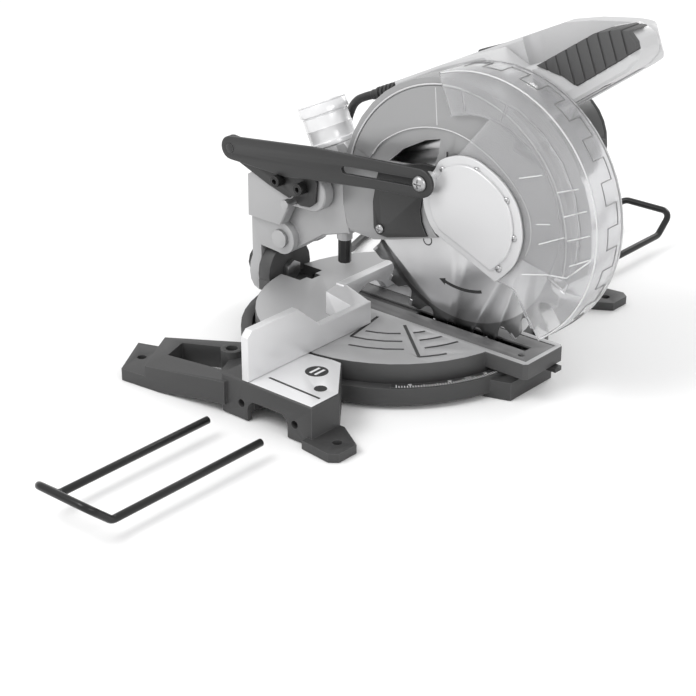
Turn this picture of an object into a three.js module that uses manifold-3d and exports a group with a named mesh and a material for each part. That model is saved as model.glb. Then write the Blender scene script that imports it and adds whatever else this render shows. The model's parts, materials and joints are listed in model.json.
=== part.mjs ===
// A compact single bevel mitre saw with its head down and its left extension bar drawn out of its holes.
// Millimetres. The user stands in front at -Y, +X is to the user's right, +Z is up and the feet stand on z = 0.
// The turntable turns about the vertical line x = 0, y = 0, and the blade lies in the plane x = 0.

import * as THREE from 'three';
import * as BufferGeometryUtils from 'three/addons/utils/BufferGeometryUtils.js';
import Module from 'manifold-3d';

const wasm = await Module();
wasm.setup();

// Fits shared by the whole machine
const seatGap = 0.3;
const runningGap = 0.8;
const cutOver = 2;
const cornerChamfer = 1;
const facetShare = 0.5;
const fewestFacets = 10;

// Table, base and feet
const tableHeight = 33;
const baseHalfWidth = 184;
const wingFront = 73;
const wingRear = 18;
const wingWall = 5;
const wingTop = 6;
const wingNeckInset = 72;
const wingNeckX = baseHalfWidth - wingNeckInset;
const wingNeckY = 40;
const wingNoseInset = 31;
const wingNoseX = baseHalfWidth - wingNoseInset;
const ringPocketGap = 3;
const ringWall = 9;
const ringTop = 18;
const ringBottom = 4;
const floorTop = 10;
const noseBeyondRing = 12;
const noseHalfWidth = 27;
const noseTop = 15;
const earThickness = 7;
const earHoleInset = 9;
const earHoleX = baseHalfWidth - earHoleInset;
const earHoleY = 90;
const earHoleRadius = 4;
const earReach = 13;
const legTwist = THREE.MathUtils.degToRad(29);
const legInnerInset = 60;
const legInnerX = baseHalfWidth - legInnerInset;
const legInnerY = 49;
const legFootInset = 29;
const legFootInnerX = baseHalfWidth - legFootInset;
const legFootInnerY = 141;
const legFootSplay = 13;
const legFootOuterX = baseHalfWidth + legFootSplay;
const legFootOuterY = 116;
const legRootDrop = 3;
const legEndHeight = 19;
const legPadHeight = 10;
const legPadDepth = 24;
const legUnderside = 10;
const legSlotWall = 13;
const legHoleInset = 12;
const legHoleX = baseHalfWidth - legHoleInset;
const legHoleY = 119;
const clampPostInset = 36;
const clampPostX = baseHalfWidth - clampPostInset;
const clampPostY = 42;
const clampPostRadius = 9;
const clampPostHole = 5;
const pivotRadius = 6;
const pivotBossRadius = 20;

// Extension bars, their holes and their lock screws
const barRadius = 3;
const barHoleClearance = 0.4;
const barHeight = 13.5;
const barRearY = -2;
const barFrontY = -56;
const barLeg = 146;
const barKickOut = 20;
const barKickUp = 17;
const barBendRadius = 9;
const barDrawnOut = 36;
const barSeated = 19;
const barGuideHalf = 7;
const barGuideLength = 44;
const wallArchFront = 49;
const wallArchRear = 8;
const wallArchHeight = 18;
const lockScrewInset = 28;
const lockScrewX = baseHalfWidth - lockScrewInset;
const lockScrewRadius = 2.8;
const lockScrewLength = 12;
const lockScrewHex = 1.5;
const lockRecessRadius = 4;

// Fence
const fenceFace = -10;
const fenceThickness = 7;
const fenceHeight = 41;
const fenceLowHeight = 19;
const fenceStepInset = 56;
const fenceStepOuter = baseHalfWidth - fenceStepInset;
const fenceStepRun = 26;
const fenceStepInner = fenceStepOuter - fenceStepRun;
const fenceGapHalf = 42;
const fenceFootDepth = 18;
const fenceFootHeight = 6;
const bridgeBack = 34;
const bridgeThickness = 8;
const bridgeHeight = 20;
const bridgeArchHalf = 22;
const bridgeArchHeight = 12;
const fenceScrewInset = 10;
const fenceScrewX = fenceStepInner - fenceScrewInset;
const fenceScrewRadius = 3;
const fenceScrewHead = 5;

// Mitre scale and turntable
const scaleThickness = 1;
const scaleWidth = 6.5;
const scaleSpan = THREE.MathUtils.degToRad(104);
const turntableRadius = 114;
const turntableRim = 10;
const turntableTop = 6;
const tongueOverhang = 12;
const tongueHalfWidth = 25;
const tongueBottom = 20;
const tongueWall = 4;
const insertHalfWidth = 19;
const insertThickness = 2.2;
const insertRear = 52;
const insertEndGap = 5;
const kerfLeft = 3;
const kerfRight = 5.4;
const grooveWidth = 2.2;
const grooveDepth = 1;
const grooveRadii = [58, 72.5, 87, 102];
const insertScrewRadius = 2.5;
const pointerWidth = 8;

// Bevel joint and the rear bracket
const bevelDiscRadius = 26;
const bevelLugRear = 128;
const bevelLugDepth = 12;
const bevelDiscDepth = 10;
const bevelBoltRadius = 5;
const bevelBoltHead = 8.5;
const chopPivotY = 105;
const chopPivotZ = 70;
const chopBarrelRadius = 14;
const chopPinRadius = 5;
const cheekInner = 15.5;
const cheekOuter = 22;
const cheekRadius = 14;
const cheekFoot = 58;
const noseOuter = 26.7;
const noseForward = 52;
const noseLow = 104;
const noseHigh = 136;
const leverLength = 46;
const leverRadius = 4.5;
const leverHubRadius = 13;
const leverHubLength = 14;
const springWire = 1.2;
const springTurns = 3;
const springSteps = 8;
const lockPinRadius = 3;
const lockPinKnob = 4;
const lockPinKnobLength = 6;
const lockPinTravel = 7;

// Guard link: a slotted bar, the plate that it swings on and the screw at its front end
const linkThickness = 3.5;
const linkPlateThickness = 3;
const linkPivotY = 150;
const linkPivotZ = 142;
const linkRearRadius = 10;
const linkStudRadius = 4;
const linkEndY = -51;
const linkEndZ = 159;
const linkEndRadius = 11.5;
const linkSlotHalf = 3.2;
const linkSlotRearY = 25;
const linkSlotRearZ = 152;
const linkScrewRadius = 2.7;
const linkScrewHead = 6.5;
const linkScrewHeadHeight = 3.5;
const lobeScrewRadius = 3;
const lobeScrewHead = 5;
const lobeScrewHeadLength = 8;
const lobeScrewShares = [
  [1.4732, -0.0179], [1.25, -0.0268],
];

// Blade, arbor and drive
const bladeRadius = 105;
const bladeY = -68;
const bladeZ = 128;
const bladeThickness = 2.4;
const bladeTeeth = 24;
const bladeGullet = 13;
const boreRadius = 15;
const flangeRadius = 24;
const flangeThickness = 4;
const spindleRadius = 7.5;
const spindleEnd = 41;
const arborBoltHead = 8;
const arborBoltShank = 4;
const arborBoltHeadHeight = 4.5;
const arborBoltLength = 24;
const gearModule = 1.8;
const gearTeeth = 40;
const pinionTeeth = 10;
const gearFrom = 27;
const gearTo = 39;
const motorTurn = THREE.MathUtils.degToRad(70);

// Fixed guard, gear case and arm
const guardRadius = 112;
const guardWall = 2.5;
const guardLeft = -14;
const guardRight = 10.5;
const guardFrontAngle = THREE.MathUtils.degToRad(-12);
const guardRearAngle = THREE.MathUtils.degToRad(198);
const guardEye = 54;
const guardPivotRadius = 30;
const guardPivotBore = 24;
const guardPivotLength = 3.7;
const armHalfWidth = 14;
const webFrom = 10.8;
const webTo = 26;
const caseRadius = 45;
const caseMotorRadius = 43;
const caseWall = 4;
const caseFrom = 15;
const caseTo = 42;
const neckRadius = 54;
const bearingRadius = 16;
const bearingFrom = 11.5;
const bearingTo = 20.5;
const coverThickness = 3;
const lockButtonRadius = 6;
const lockButtonStem = 3;
const lockButtonHeight = 7;
const lockButtonTurn = 70;
const stopScrewY = 48;
const stopScrewX = -7;
const stopScrewRadius = 3;
const stopKnobRadius = 5.5;
const stopKnobTop = 80;
const stopKnobBottom = 60;
const sidePlateThickness = 2;
const sidePlateScrewRadius = 4;
const sidePlateScrewShares = [
  [0.6339, -0.2232],
];

// Clear guard and hub plate
const clearForward = 28;
const clearUp = 16;
const clearRadius = 108;
const clearWall = 2;
const clearNear = -20;
const clearFar = 13.5;
const clearRearAngle = THREE.MathUtils.degToRad(112);
const clearFrontAngle = THREE.MathUtils.degToRad(-56);
const clearFarEye = 62;
const clearBandInner = 74;
const clearRibHeight = 1.2;
const clearRibWidth = 1.6;
const clearRibOuter = 92;
const clearRibCount = 6;
const hubThickness = 2.5;
const hubBossHeight = 2.5;
const hubBossShare = 0.84;
const hubScrewRadius = 2.6;
const hubScrewHeight = 1.5;
const hubCollarRadius = 7;

// Motor
const motorRadius = 41;
const motorTo = 106;
const motorWall = 3;
const endCapLength = 6;
const endCapBoss = 12;
const ventWidth = 4;
const ventCount = 5;
const statorFrom = 56;
const statorTo = 90;
const statorWall = 9;
const armatureRadius = 27;
const commutatorRadius = 12;
const motorShaftRadius = 4;
const brushCapRadius = 7;
const brushCapX = 98;
const brushCapReach = 3;

// Handle: measured along its own slope, forwards and upwards from its rear top edge
const handleOriginY = 24;
const handleOriginZ = 210;
const handleSlope = 21.6;
const handleInner = 15;
const handleOuter = 76;
const handleSplit = 45;
const handleRear = 8;
const handleTip = 242;
const loopFrom = 118;
const loopTo = 214;
const loopInner = 42;
const loopOuter = 60;
const loopCorner = 8;
const tipCorner = 11;
const tipFarCorner = 50;
const shellWall = 4;
const cavityTop = -3;
const cavityBottom = -22;
const cavityFrom = 20;
const cavityTo = 104;
const gripFrom = 150;
const gripThickness = 4;
const gripGroove = 1.4;
const gripGrooveWidth = 1.8;
const gripRibs = 9;
const switchFrom = 118;
const switchTo = 152;
const switchTop = -21;
const switchBottom = -30;
const triggerFrom = 160;
const triggerTo = 196;
const triggerInner = 23;
const triggerOuter = 36;
const triggerDrop = 43;
const triggerSwing = 2.5;
const buttonFrom = 68;
const buttonTo = 96;
const buttonInner = 50;
const buttonOuter = 60;
const buttonTop = 7;

// Dust port
const portY = 64.5;
const portZ = 156;
const portLean = 24.9;
const portLength = 36;
const portRadius = 19.5;
const portRim = 20.7;
const portRimLength = 10;
const portBore = 16.5;
const portCollar = 21;
const portSkirt = 14;

// Mains lead
const cordRadius = 3.5;
const cordSides = 8;
const reliefX = 26;
const reliefT = -6;
const reliefLength = 34;
const reliefRadius = 6;
const reliefEnd = 4.6;
const reliefRibs = 3;
const coilX = 252;
const coilY = 112;
const coilTurns = 3;
const coilMiddleRadius = 40;
const coilGap = 0.8;
const coilSteps = 24;
const coilSides = 6;
const coilFloor = 0.5;
const plugLength = 38;
const plugRadius = 15;
const plugPinLength = 19;
const plugPinRadius = 2.4;
const plugPinSpread = 9.5;

// Values that follow from the sizes above
const pocketRadius = turntableRadius + ringPocketGap;
const ringRadius = pocketRadius + ringWall;
const noseReach = ringRadius + noseBeyondRing;
const tongueReach = noseReach + tongueOverhang;
const insertFront = tongueReach - insertEndGap;
const wallX = baseHalfWidth;
const discY = bevelLugRear + seatGap;
const gearDistance = gearModule * (gearTeeth + pinionTeeth) / 2;
const motorY = bladeY - gearDistance * Math.cos(motorTurn);
const motorZ = bladeZ + gearDistance * Math.sin(motorTurn);
const motorFrom = caseTo + coverThickness + 2 * seatGap;
const hubPlateX = clearNear - seatGap;
const linkPlateX = -noseOuter - seatGap;
const linkInnerX = linkPlateX - linkPlateThickness - runningGap;
const linkOuterX = linkInnerX - linkThickness;
const springPitch = springWire * 2 + seatGap * 2;
const barrelTo = cheekInner - springTurns * springPitch - springWire * 2 - seatGap * 4;
const coilPitch = cordRadius * 2 + coilGap;
const lobeScrews = fromAxis(lobeScrewShares);
const sidePlateScrewPlace = fromAxis(sidePlateScrewShares)[0];
const coilLow = cordRadius + coilFloor;

// Small tools

function solidOf(geometry) {
  geometry.deleteAttribute('normal');
  geometry.deleteAttribute('uv');
  const merged = BufferGeometryUtils.mergeVertices(geometry, 1e-4);
  return new wasm.Manifold(new wasm.Mesh({
    numProp: 3,
    vertProperties: new Float32Array(merged.attributes.position.array),
    triVerts: new Uint32Array(merged.index.array),
  }));
}

function geometryOf(solid) {
  const mesh = solid.getMesh();
  const geometry = new THREE.BufferGeometry();
  geometry.setAttribute('position', new THREE.BufferAttribute(mesh.vertProperties, 3));
  geometry.setIndex(new THREE.BufferAttribute(mesh.triVerts, 1));
  geometry.computeVertexNormals();
  return geometry;
}

function join(...solids) {
  return solids.reduce((sum, solid) => sum.add(solid));
}

function cut(solid, ...tools) {
  return tools.reduce((left, tool) => left.subtract(tool), solid);
}

function block(x, y, z) {
  const geometry = new THREE.BoxGeometry(x[1] - x[0], y[1] - y[0], z[1] - z[0]);
  geometry.translate((x[0] + x[1]) / 2, (y[0] + y[1]) / 2, (z[0] + z[1]) / 2);
  return solidOf(geometry);
}

function mainBody(solid) {
  return solid.decompose().reduce((best, body) => (body.volume() > best.volume() ? body : best));
}

// A round bar along X, Y or Z; centre gives the two other coordinates in order
function rod(axis, radius, from, to, centre, sides = 32, endRadius = radius) {
  const facets = sides > 8 ? Math.max(fewestFacets, 2 * Math.round(sides * facetShare / 2)) : sides;
  const geometry = new THREE.CylinderGeometry(endRadius, radius, to - from, facets);
  const middle = (from + to) / 2;
  if (axis === 'x') {
    geometry.rotateZ(-Math.PI / 2);
    geometry.translate(middle, centre[0], centre[1]);
  } else if (axis === 'y') {
    geometry.translate(centre[0], middle, centre[1]);
  } else {
    geometry.rotateX(Math.PI / 2);
    geometry.translate(centre[0], centre[1], middle);
  }
  return solidOf(geometry);
}

function ring(axis, outer, inner, from, to, centre, sides = 48) {
  const hole = rod(axis, inner, from - cutOver, to + cutOver, centre, sides);
  return rod(axis, outer, from, to, centre, sides).subtract(hole);
}

function arc(centreA, centreB, radius, from, to, steps) {
  const points = [];
  for (let i = 0; i <= steps; i += 1) {
    const angle = from + (to - from) * i / steps;
    points.push([centreA + radius * Math.cos(angle), centreB + radius * Math.sin(angle)]);
  }
  return points;
}

function extruded(points, depth, chamfer) {
  const shape = new THREE.Shape(points.map(([a, b]) => new THREE.Vector2(a, b)));
  const edge = Math.min(chamfer, depth / 4);
  return new THREE.ExtrudeGeometry(shape, {
    depth: depth - 2 * edge,
    bevelEnabled: edge > 0,
    bevelThickness: edge,
    bevelSize: edge,
    bevelOffset: -edge,
    bevelSegments: 1,
  }).translate(0, 0, edge);
}

// Plates cut to an outline: points are (x, y) for a flat plate, (y, z) for an upright one along the machine
// and (x, z) for an upright one across it
function flatPlate(points, z, chamfer = 0) {
  return solidOf(extruded(points, z[1] - z[0], chamfer).translate(0, 0, z[0]));
}

function sidePlate(points, x, chamfer = 0) {
  const geometry = extruded(points, x[1] - x[0], chamfer);
  geometry.applyMatrix4(new THREE.Matrix4().set(0, 0, 1, x[0], 1, 0, 0, 0, 0, 1, 0, 0, 0, 0, 0, 1));
  return solidOf(geometry);
}

function crossPlate(points, y, chamfer = 0) {
  const geometry = extruded(points, y[1] - y[0], chamfer);
  geometry.applyMatrix4(new THREE.Matrix4().set(1, 0, 0, 0, 0, 0, -1, y[1], 0, 1, 0, 0, 0, 0, 0, 1));
  return solidOf(geometry);
}

function mirrored(solid) {
  return solid.mirror([1, 0, 0]);
}

// Outlines on the head are shares of the fixed guard's radius, backwards and upwards from the blade's axis
function fromAxis(shares) {
  return shares.map(([back, up]) => [bladeY + back * guardRadius, bladeZ + up * guardRadius]);
}

// Outlines of the handle are shares of its length, backwards and upwards from its rear top edge
function alongHandle(shares) {
  return shares.map(([back, up]) => [back * handleTip, up * handleTip]);
}

// Angles on the head are measured from straight ahead of the blade's axis, upwards positive
function headPoint(radius, angle, forward = 0, up = 0) {
  return [bladeY - forward - radius * Math.cos(angle), bladeZ + up + radius * Math.sin(angle)];
}

function headArc(radius, from, to, steps, forward = 0, up = 0) {
  const points = [];
  for (let i = 0; i <= steps; i += 1) {
    points.push(headPoint(radius, from + (to - from) * i / steps, forward, up));
  }
  return points;
}

function sector(inner, outer, from, to, x, steps, forward = 0, up = 0) {
  const rim = headArc(outer, from, to, steps, forward, up);
  const eye = headArc(inner, to, from, steps, forward, up);
  return sidePlate([...rim, ...eye], x);
}

const material = (color, roughness, metalness) => new THREE.MeshStandardMaterial({ color, roughness,
  metalness });

const finish = {
  casting: material(0x5a5b5d, 0.6, 0.3),
  machined: material(0xb9bbbd, 0.4, 0.7),
  silver: material(0xc4c6c8, 0.45, 0.5),
  steel: material(0xa9acb0, 0.3, 0.9),
  dark: material(0x3a3b3d, 0.55, 0.2),
  black: material(0x17181a, 0.45, 0.1),
  grip: material(0x4a4b4d, 0.85, 0),
  shell: material(0xb4b5b6, 0.5, 0),
  clear: material(0xe8eef0, 0.15, 0),
  copper: material(0xa5652f, 0.5, 0.8),
};
finish.clear.transparent = true;
finish.clear.opacity = 0.35;

const saw = new THREE.Group();

function add(name, solid, surface) {
  const mesh = new THREE.Mesh(geometryOf(solid), surface);
  mesh.name = name;
  saw.add(mesh);
}

// Base casting: a ring with two side wings, four feet and a nose under the tongue

function wing() {
  const outline = [
    [-wallX, -wingFront], [-wingNoseX, -wingFront], [-wingNeckX, -wingNeckY],
    [-wingNeckX, wingRear], [-wallX, wingRear],
  ];
  const inside = [
    [-wallX + wingWall, -wingFront + wingWall], [-wingNoseX, -wingFront + wingWall],
    [-ringRadius, -wingNeckY], [-ringRadius, wingRear - wingWall], [-wallX + wingWall, wingRear - wingWall],
  ];
  return cut(
    flatPlate(outline, [0, tableHeight], cornerChamfer),
    flatPlate(inside, [-cutOver, tableHeight - wingTop]),
  );
}

function wingGuides() {
  const across = [-wallX + wingWall / 2, -wallX + barGuideLength];
  const height = [barHeight - barGuideHalf, tableHeight - wingTop / 2];
  return [barRearY, barFrontY].map((y) => block(across, [y - barGuideHalf, y + barGuideHalf], height));
}

function wingCuts() {
  const archRadius = barKickUp / 2;
  const arch = [
    [-wallArchFront, -cutOver], [-wallArchRear, -cutOver],
    ...arc(-wallArchRear - archRadius, wallArchHeight - archRadius, archRadius, 0, Math.PI / 2, 6),
    ...arc(-wallArchFront + archRadius, wallArchHeight - archRadius, archRadius, Math.PI / 2, Math.PI, 6),
  ];
  const holeRadius = barRadius + barHoleClearance;
  const through = [-wallX - cutOver, -wallX + barGuideLength + cutOver];
  return [
    sidePlate(arch, [-wallX - cutOver, -wallX + wingWall + cutOver]),
    rod('x', holeRadius, ...through, [barRearY, barHeight], 20),
    rod('x', holeRadius, ...through, [barFrontY, barHeight], 20),
    rod('z', lockScrewRadius + seatGap, barHeight, tableHeight + cutOver, [-lockScrewX, barFrontY], 16),
    rod('z', lockRecessRadius, tableHeight - wingTop / 2, tableHeight + cutOver, [-lockScrewX, barFrontY],
      20),
  ];
}

function ear() {
  const outline = [
    [-wallX - barKickUp / 3, -wingFront + wingWall], [-earHoleX - earReach - wingWall,
      -earHoleY - earReach / 2],
    [-earHoleX - earReach, -earHoleY - earReach], [-earHoleX + earReach / 2, -earHoleY - earReach],
    [-wingNoseX, -wingFront - wingWall], [-wingNoseX, -wingFront + wingWall],
  ];
  return cut(
    flatPlate(outline, [0, earThickness]),
    rod('z', earHoleRadius, -cutOver, earThickness + cutOver, [-earHoleX, -earHoleY], 20),
  );
}

// The splayed rear leg: its side profile is drawn along its own axis and trimmed to the outline seen from above
function rearLeg() {
  const outline = [
    [-wallX - legRootDrop, wingRear - wingWall], [-legInnerX, wingRear - wingWall], [-legInnerX, legInnerY],
    [-legFootInnerX, legFootInnerY], [-legFootOuterX, legFootOuterY],
  ];
  const along = (x, y) => x * Math.sin(legTwist) * -1 + y * Math.cos(legTwist);
  const end = along(-legFootInnerX, legFootInnerY);
  const step = end - legPadDepth;
  const root = along(-legInnerX, legInnerY) - legPadDepth;
  const profile = [
    [root - legPadDepth * 2, tableHeight - legRootDrop], [root, tableHeight - legRootDrop],
    [step, legEndHeight], [step, legPadHeight],
    [end + legPadDepth, legPadHeight], [end + legPadDepth, 0], [step - legPadDepth / 2, 0],
    [step - legPadDepth * 2, legUnderside * 0.6], [root, legUnderside], [root - legPadDepth * 2,
      legUnderside],
  ];
  const body = sidePlate(profile, [-legFootOuterX - legInnerX, legFootOuterX + legInnerX])
    .rotate([0, 0, THREE.MathUtils.radToDeg(legTwist)]);
  const slot = [
    [-wallX + legSlotWall, wingRear + legSlotWall], [-legInnerX - legSlotWall * 1.3,
      legInnerY - legSlotWall / 3],
    [-legInnerX - legSlotWall * 1.2, legInnerY + legSlotWall],
    [-legFootInnerX + legSlotWall / 2, legFootInnerY - legSlotWall * 3.4],
    [-wallX + legSlotWall, legFootOuterY - legSlotWall * 2],
  ];
  const holeFrom = -cutOver;
  return cut(
    flatPlate(outline, [0, tableHeight]).intersect(body),
    flatPlate(slot, [-cutOver, tableHeight + cutOver]),
    rod('z', earHoleRadius, holeFrom, tableHeight, [-legHoleX, legHoleY], 20),
  );
}

function clampPost() {
  return rod('z', clampPostRadius, legUnderside, tableHeight, [-clampPostX, clampPostY], 24);
}

function baseFrame() {
  const nose = [
    [-noseHalfWidth * 1.25, -pocketRadius], [-noseHalfWidth, -noseReach],
    [noseHalfWidth, -noseReach], [noseHalfWidth * 1.25, -pocketRadius],
  ];
  const side = cut(join(wing(), ear(), rearLeg(), clampPost(), ...wingGuides()), ...wingCuts());
  const postHole = rod('z', clampPostHole, 0, tableHeight + cutOver, [-clampPostX, clampPostY], 20);
  return cut(
    join(
      rod('z', ringRadius, ringBottom, ringTop, [0, 0], 96),
      flatPlate(nose, [0, noseTop]),
      side,
      mirrored(side),
    ),
    rod('z', pocketRadius, floorTop, tableHeight + cutOver, [0, 0], 96),
    rod('z', pivotRadius + seatGap, 0, tableHeight, [0, 0], 24),
    ring('z', pocketRadius - ringWall, pivotBossRadius, 0, floorTop - wingWall, [0, 0], 48),
    scaleRecess(),
    postHole,
    mirrored(postHole),
  );
}

// Mitre scale: a thin arc plate let into the top of the ring

function scaleOutline(outer, inner, span) {
  const start = -Math.PI / 2 - span / 2;
  return [...arc(0, 0, outer, start, start + span, 24), ...arc(0, 0, inner, start + span, start, 24)];
}

function scaleRecess() {
  const outer = pocketRadius + (ringWall + scaleWidth) / 2 + seatGap;
  const inner = pocketRadius + (ringWall - scaleWidth) / 2 - seatGap;
  const span = scaleSpan + 2 * seatGap / ringRadius;
  return flatPlate(scaleOutline(outer, inner, span), [ringTop - scaleThickness / 2 - seatGap,
    ringTop + cutOver]);
}

function mitreScale() {
  const outer = pocketRadius + (ringWall + scaleWidth) / 2;
  const inner = pocketRadius + (ringWall - scaleWidth) / 2;
  const bottom = ringTop - scaleThickness / 2;
  return flatPlate(scaleOutline(outer, inner, scaleSpan), [bottom, bottom + scaleThickness]);
}

function pivotBolt() {
  return join(
    rod('z', pivotRadius, ringBottom / 2, tableHeight - turntableTop - runningGap, [0, 0], 24),
    rod('z', pivotBossRadius / 2, ringBottom / 4, ringBottom - seatGap, [0, 0], 6),
  );
}

// Extension bars: round wire bent to a U whose end kicks up

function barPath(tipX, outward) {
  const bendX = tipX + outward * barLeg;
  const endX = bendX + outward * barKickOut;
  const endZ = barHeight + barKickUp;
  const corners = [
    [tipX, barFrontY, barHeight], [bendX, barFrontY, barHeight], [endX, barFrontY, endZ],
    [endX, barRearY, endZ], [bendX, barRearY, barHeight], [tipX, barRearY, barHeight],
  ].map((p) => new THREE.Vector3(...p));
  const path = new THREE.CurvePath();
  let last = corners[0];
  for (let i = 1; i < corners.length - 1; i += 1) {
    const reach = Math.min(barBendRadius, corners[i].distanceTo(corners[i + 1]) / 2 - barRadius);
    const before = corners[i].clone().add(corners[i - 1].clone().sub(corners[i]).setLength(reach));
    const after = corners[i].clone().add(corners[i + 1].clone().sub(corners[i]).setLength(reach));
    path.add(new THREE.LineCurve3(last, before));
    path.add(new THREE.QuadraticBezierCurve3(before, corners[i], after));
    last = after;
  }
  path.add(new THREE.LineCurve3(last, corners[corners.length - 1]));
  return path;
}

function extensionBar(tipX, outward) {
  return sweep(barPath(tipX, outward).getPoints(3), barRadius, 8);
}

// A tube through points with its section kept square to the path by parallel transport
function sweep(points, radius, sides) {
  const path = points.filter((p, i) => i === 0 || p.distanceTo(points[i - 1]) > radius / 50);
  const position = [];
  const index = [];
  const tangentAt = (i) => path[Math.min(i + 1, path.length - 1)].clone().sub(path[Math.max(i - 1,
    0)]).normalize();
  const firstTangent = tangentAt(0);
  const helper = Math.abs(firstTangent.z) < 1 / Math.SQRT2 ? new THREE.Vector3(0, 0,
    1) : new THREE.Vector3(0, 1, 0);
  let normal = helper.cross(firstTangent).normalize();
  path.forEach((p, i) => {
    const tangent = tangentAt(i);
    normal = normal.sub(tangent.clone().multiplyScalar(normal.dot(tangent))).normalize();
    const binormal = tangent.clone().cross(normal);
    for (let k = 0; k < sides; k += 1) {
      const angle = 2 * Math.PI * k / sides;
      const q = p.clone()
        .addScaledVector(normal, radius * Math.cos(angle))
        .addScaledVector(binormal, radius * Math.sin(angle));
      position.push(q.x, q.y, q.z);
    }
  });
  const count = path.length;
  for (let i = 0; i < count - 1; i += 1) {
    for (let k = 0; k < sides; k += 1) {
      const a = i * sides + k;
      const b = i * sides + (k + 1) % sides;
      index.push(a, b, a + sides, b, b + sides, a + sides);
    }
  }
  const first = position.length / 3;
  position.push(...path[0].toArray(), ...path[count - 1].toArray());
  for (let k = 0; k < sides; k += 1) {
    const next = (k + 1) % sides;
    index.push(first, next, k);
    index.push(first + 1, (count - 1) * sides + k, (count - 1) * sides + next);
  }
  const geometry = new THREE.BufferGeometry();
  geometry.setAttribute('position', new THREE.Float32BufferAttribute(position, 3));
  geometry.setIndex(index);
  return solidOf(geometry);
}

function lockScrew(side) {
  const bottom = barHeight + barRadius + seatGap;
  const top = bottom + lockScrewLength;
  return cut(
    rod('z', lockScrewRadius, bottom, top, [side * lockScrewX, barFrontY], 16),
    rod('z', lockScrewHex, top - lockScrewLength / 4, top + cutOver, [side * lockScrewX, barFrontY], 6),
  );
}

// Fence: two upright wings in front, joined by a low bridge that passes behind the blade

function fence() {
  const low = tableHeight + seatGap;
  const wingOutline = [
    [-wallX, low], [-fenceGapHalf, low], [-fenceGapHalf, low + fenceLowHeight],
    [-fenceStepInner, low + fenceLowHeight], [-fenceStepOuter, low + fenceHeight],
    [-wallX + wingWall, low + fenceHeight], [-wallX, low + fenceHeight - wingWall],
  ];
  const face = crossPlate(wingOutline, [fenceFace, fenceFace + fenceThickness], cornerChamfer / 2);
  const foot = block(
    [-fenceStepOuter, -fenceGapHalf],
    [fenceFace + fenceThickness / 2, fenceFace + fenceThickness + fenceFootDepth],
    [low, low + fenceFootHeight],
  );
  const endRib = sidePlate([
    [fenceFace + fenceThickness / 2, low], [fenceFace + fenceThickness + fenceFootDepth, low],
    [fenceFace + fenceThickness + fenceFootDepth, low + fenceFootHeight],
    [fenceFace + fenceThickness / 2, low + fenceHeight - fenceFootHeight],
  ], [-fenceStepOuter, -fenceStepOuter + wingWall]);
  const bridgeFront = bridgeBack - bridgeThickness;
  const link = flatPlate([
    [-fenceGapHalf - fenceFootDepth, fenceFace + fenceThickness / 2], [-fenceGapHalf,
      fenceFace + fenceThickness / 2],
    [-bridgeArchHalf - bridgeThickness, bridgeFront], [-bridgeArchHalf - bridgeThickness, bridgeBack],
    [-fenceGapHalf - fenceFootDepth / 2, bridgeBack - bridgeThickness / 2],
  ], [low, low + fenceLowHeight]);
  const half = join(face, foot, endRib, link);
  const archRadius = bridgeArchHalf / Math.cos(Math.PI / 6);
  const arch = [
    [-bridgeArchHalf, low - cutOver], [bridgeArchHalf, low - cutOver],
    ...arc(0, low + bridgeArchHeight - archRadius, archRadius, Math.PI / 6, Math.PI * 5 / 6, 10),
  ];
  const bridge = cut(
    block([-bridgeArchHalf - bridgeThickness * 1.5, bridgeArchHalf + bridgeThickness * 1.5],
      [bridgeFront, bridgeBack], [low, low + bridgeHeight]),
    crossPlate(arch, [bridgeFront - cutOver, bridgeBack + cutOver]),
  );
  const screwY = fenceFace + fenceThickness + fenceFootDepth / 2;
  const hole = rod('z', fenceScrewRadius + seatGap, low - cutOver, low + fenceHeight, [-fenceScrewX,
    screwY], 16);
  const slope = rod('z', pocketRadius + seatGap, low - cutOver, low - seatGap / 2, [0, 0], 48);
  return cut(join(half, mirrored(half), bridge), hole, mirrored(hole), slope);
}

function fenceScrew(side) {
  const seat = tableHeight + seatGap + fenceFootHeight + seatGap;
  const centre = [side * fenceScrewX, fenceFace + fenceThickness + fenceFootDepth / 2];
  return cut(
    join(
      rod('z', fenceScrewRadius, tableHeight + seatGap, seat + fenceScrewHead / 2, centre, 16),
      rod('z', fenceScrewHead, seat, seat + fenceScrewHead, centre, 24),
    ),
    rod('z', fenceScrewHead / 2, seat + fenceScrewHead / 2, seat + fenceScrewHead + cutOver, centre, 6),
  );
}

// Turntable: a round table with a tongue to the front, hollow below, and a lug for the bevel joint behind

function grooves() {
  const depth = [tableHeight - grooveDepth, tableHeight + cutOver];
  const toRad = THREE.MathUtils.degToRad;
  const starts = [16, 11, 15, 50];
  const rightFrom = [54, 55, 55, 50];
  const rightTo = [63.5, 70, 74, 62.5];
  const tools = [];
  grooveRadii.forEach((radius, i) => {
    const spans = i < 3 ? [[starts[i], 44], [rightFrom[i], rightTo[i]]] : [[rightFrom[i], rightTo[i]]];
    spans.forEach(([a, b]) => {
      const from = Math.PI + toRad(a);
      const to = Math.PI + toRad(b);
      const outline = [
        ...arc(0, 0, radius + grooveWidth / 2, from, to, 3),
        ...arc(0, 0, radius - grooveWidth / 2, to, from, 3),
      ];
      tools.push(flatPlate(outline, depth));
    });
  });
  [[50, grooveRadii[0] * 0.73, grooveRadii[3]], [11, grooveRadii[0] / 2, grooveRadii[1]]].forEach(([a, r0,
    r1]) => {
    const angle = Math.PI + toRad(a);
    const dx = -Math.sin(angle) * grooveWidth / 2;
    const dy = Math.cos(angle) * grooveWidth / 2;
    const corner = (r, s) => [r * Math.cos(angle) + s * dx, r * Math.sin(angle) + s * dy];
    tools.push(flatPlate([corner(r0, -1), corner(r1, -1), corner(r1, 1), corner(r0, 1)], depth));
  });
  return [...tools, ...tools.map(mirrored)];
}

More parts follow.
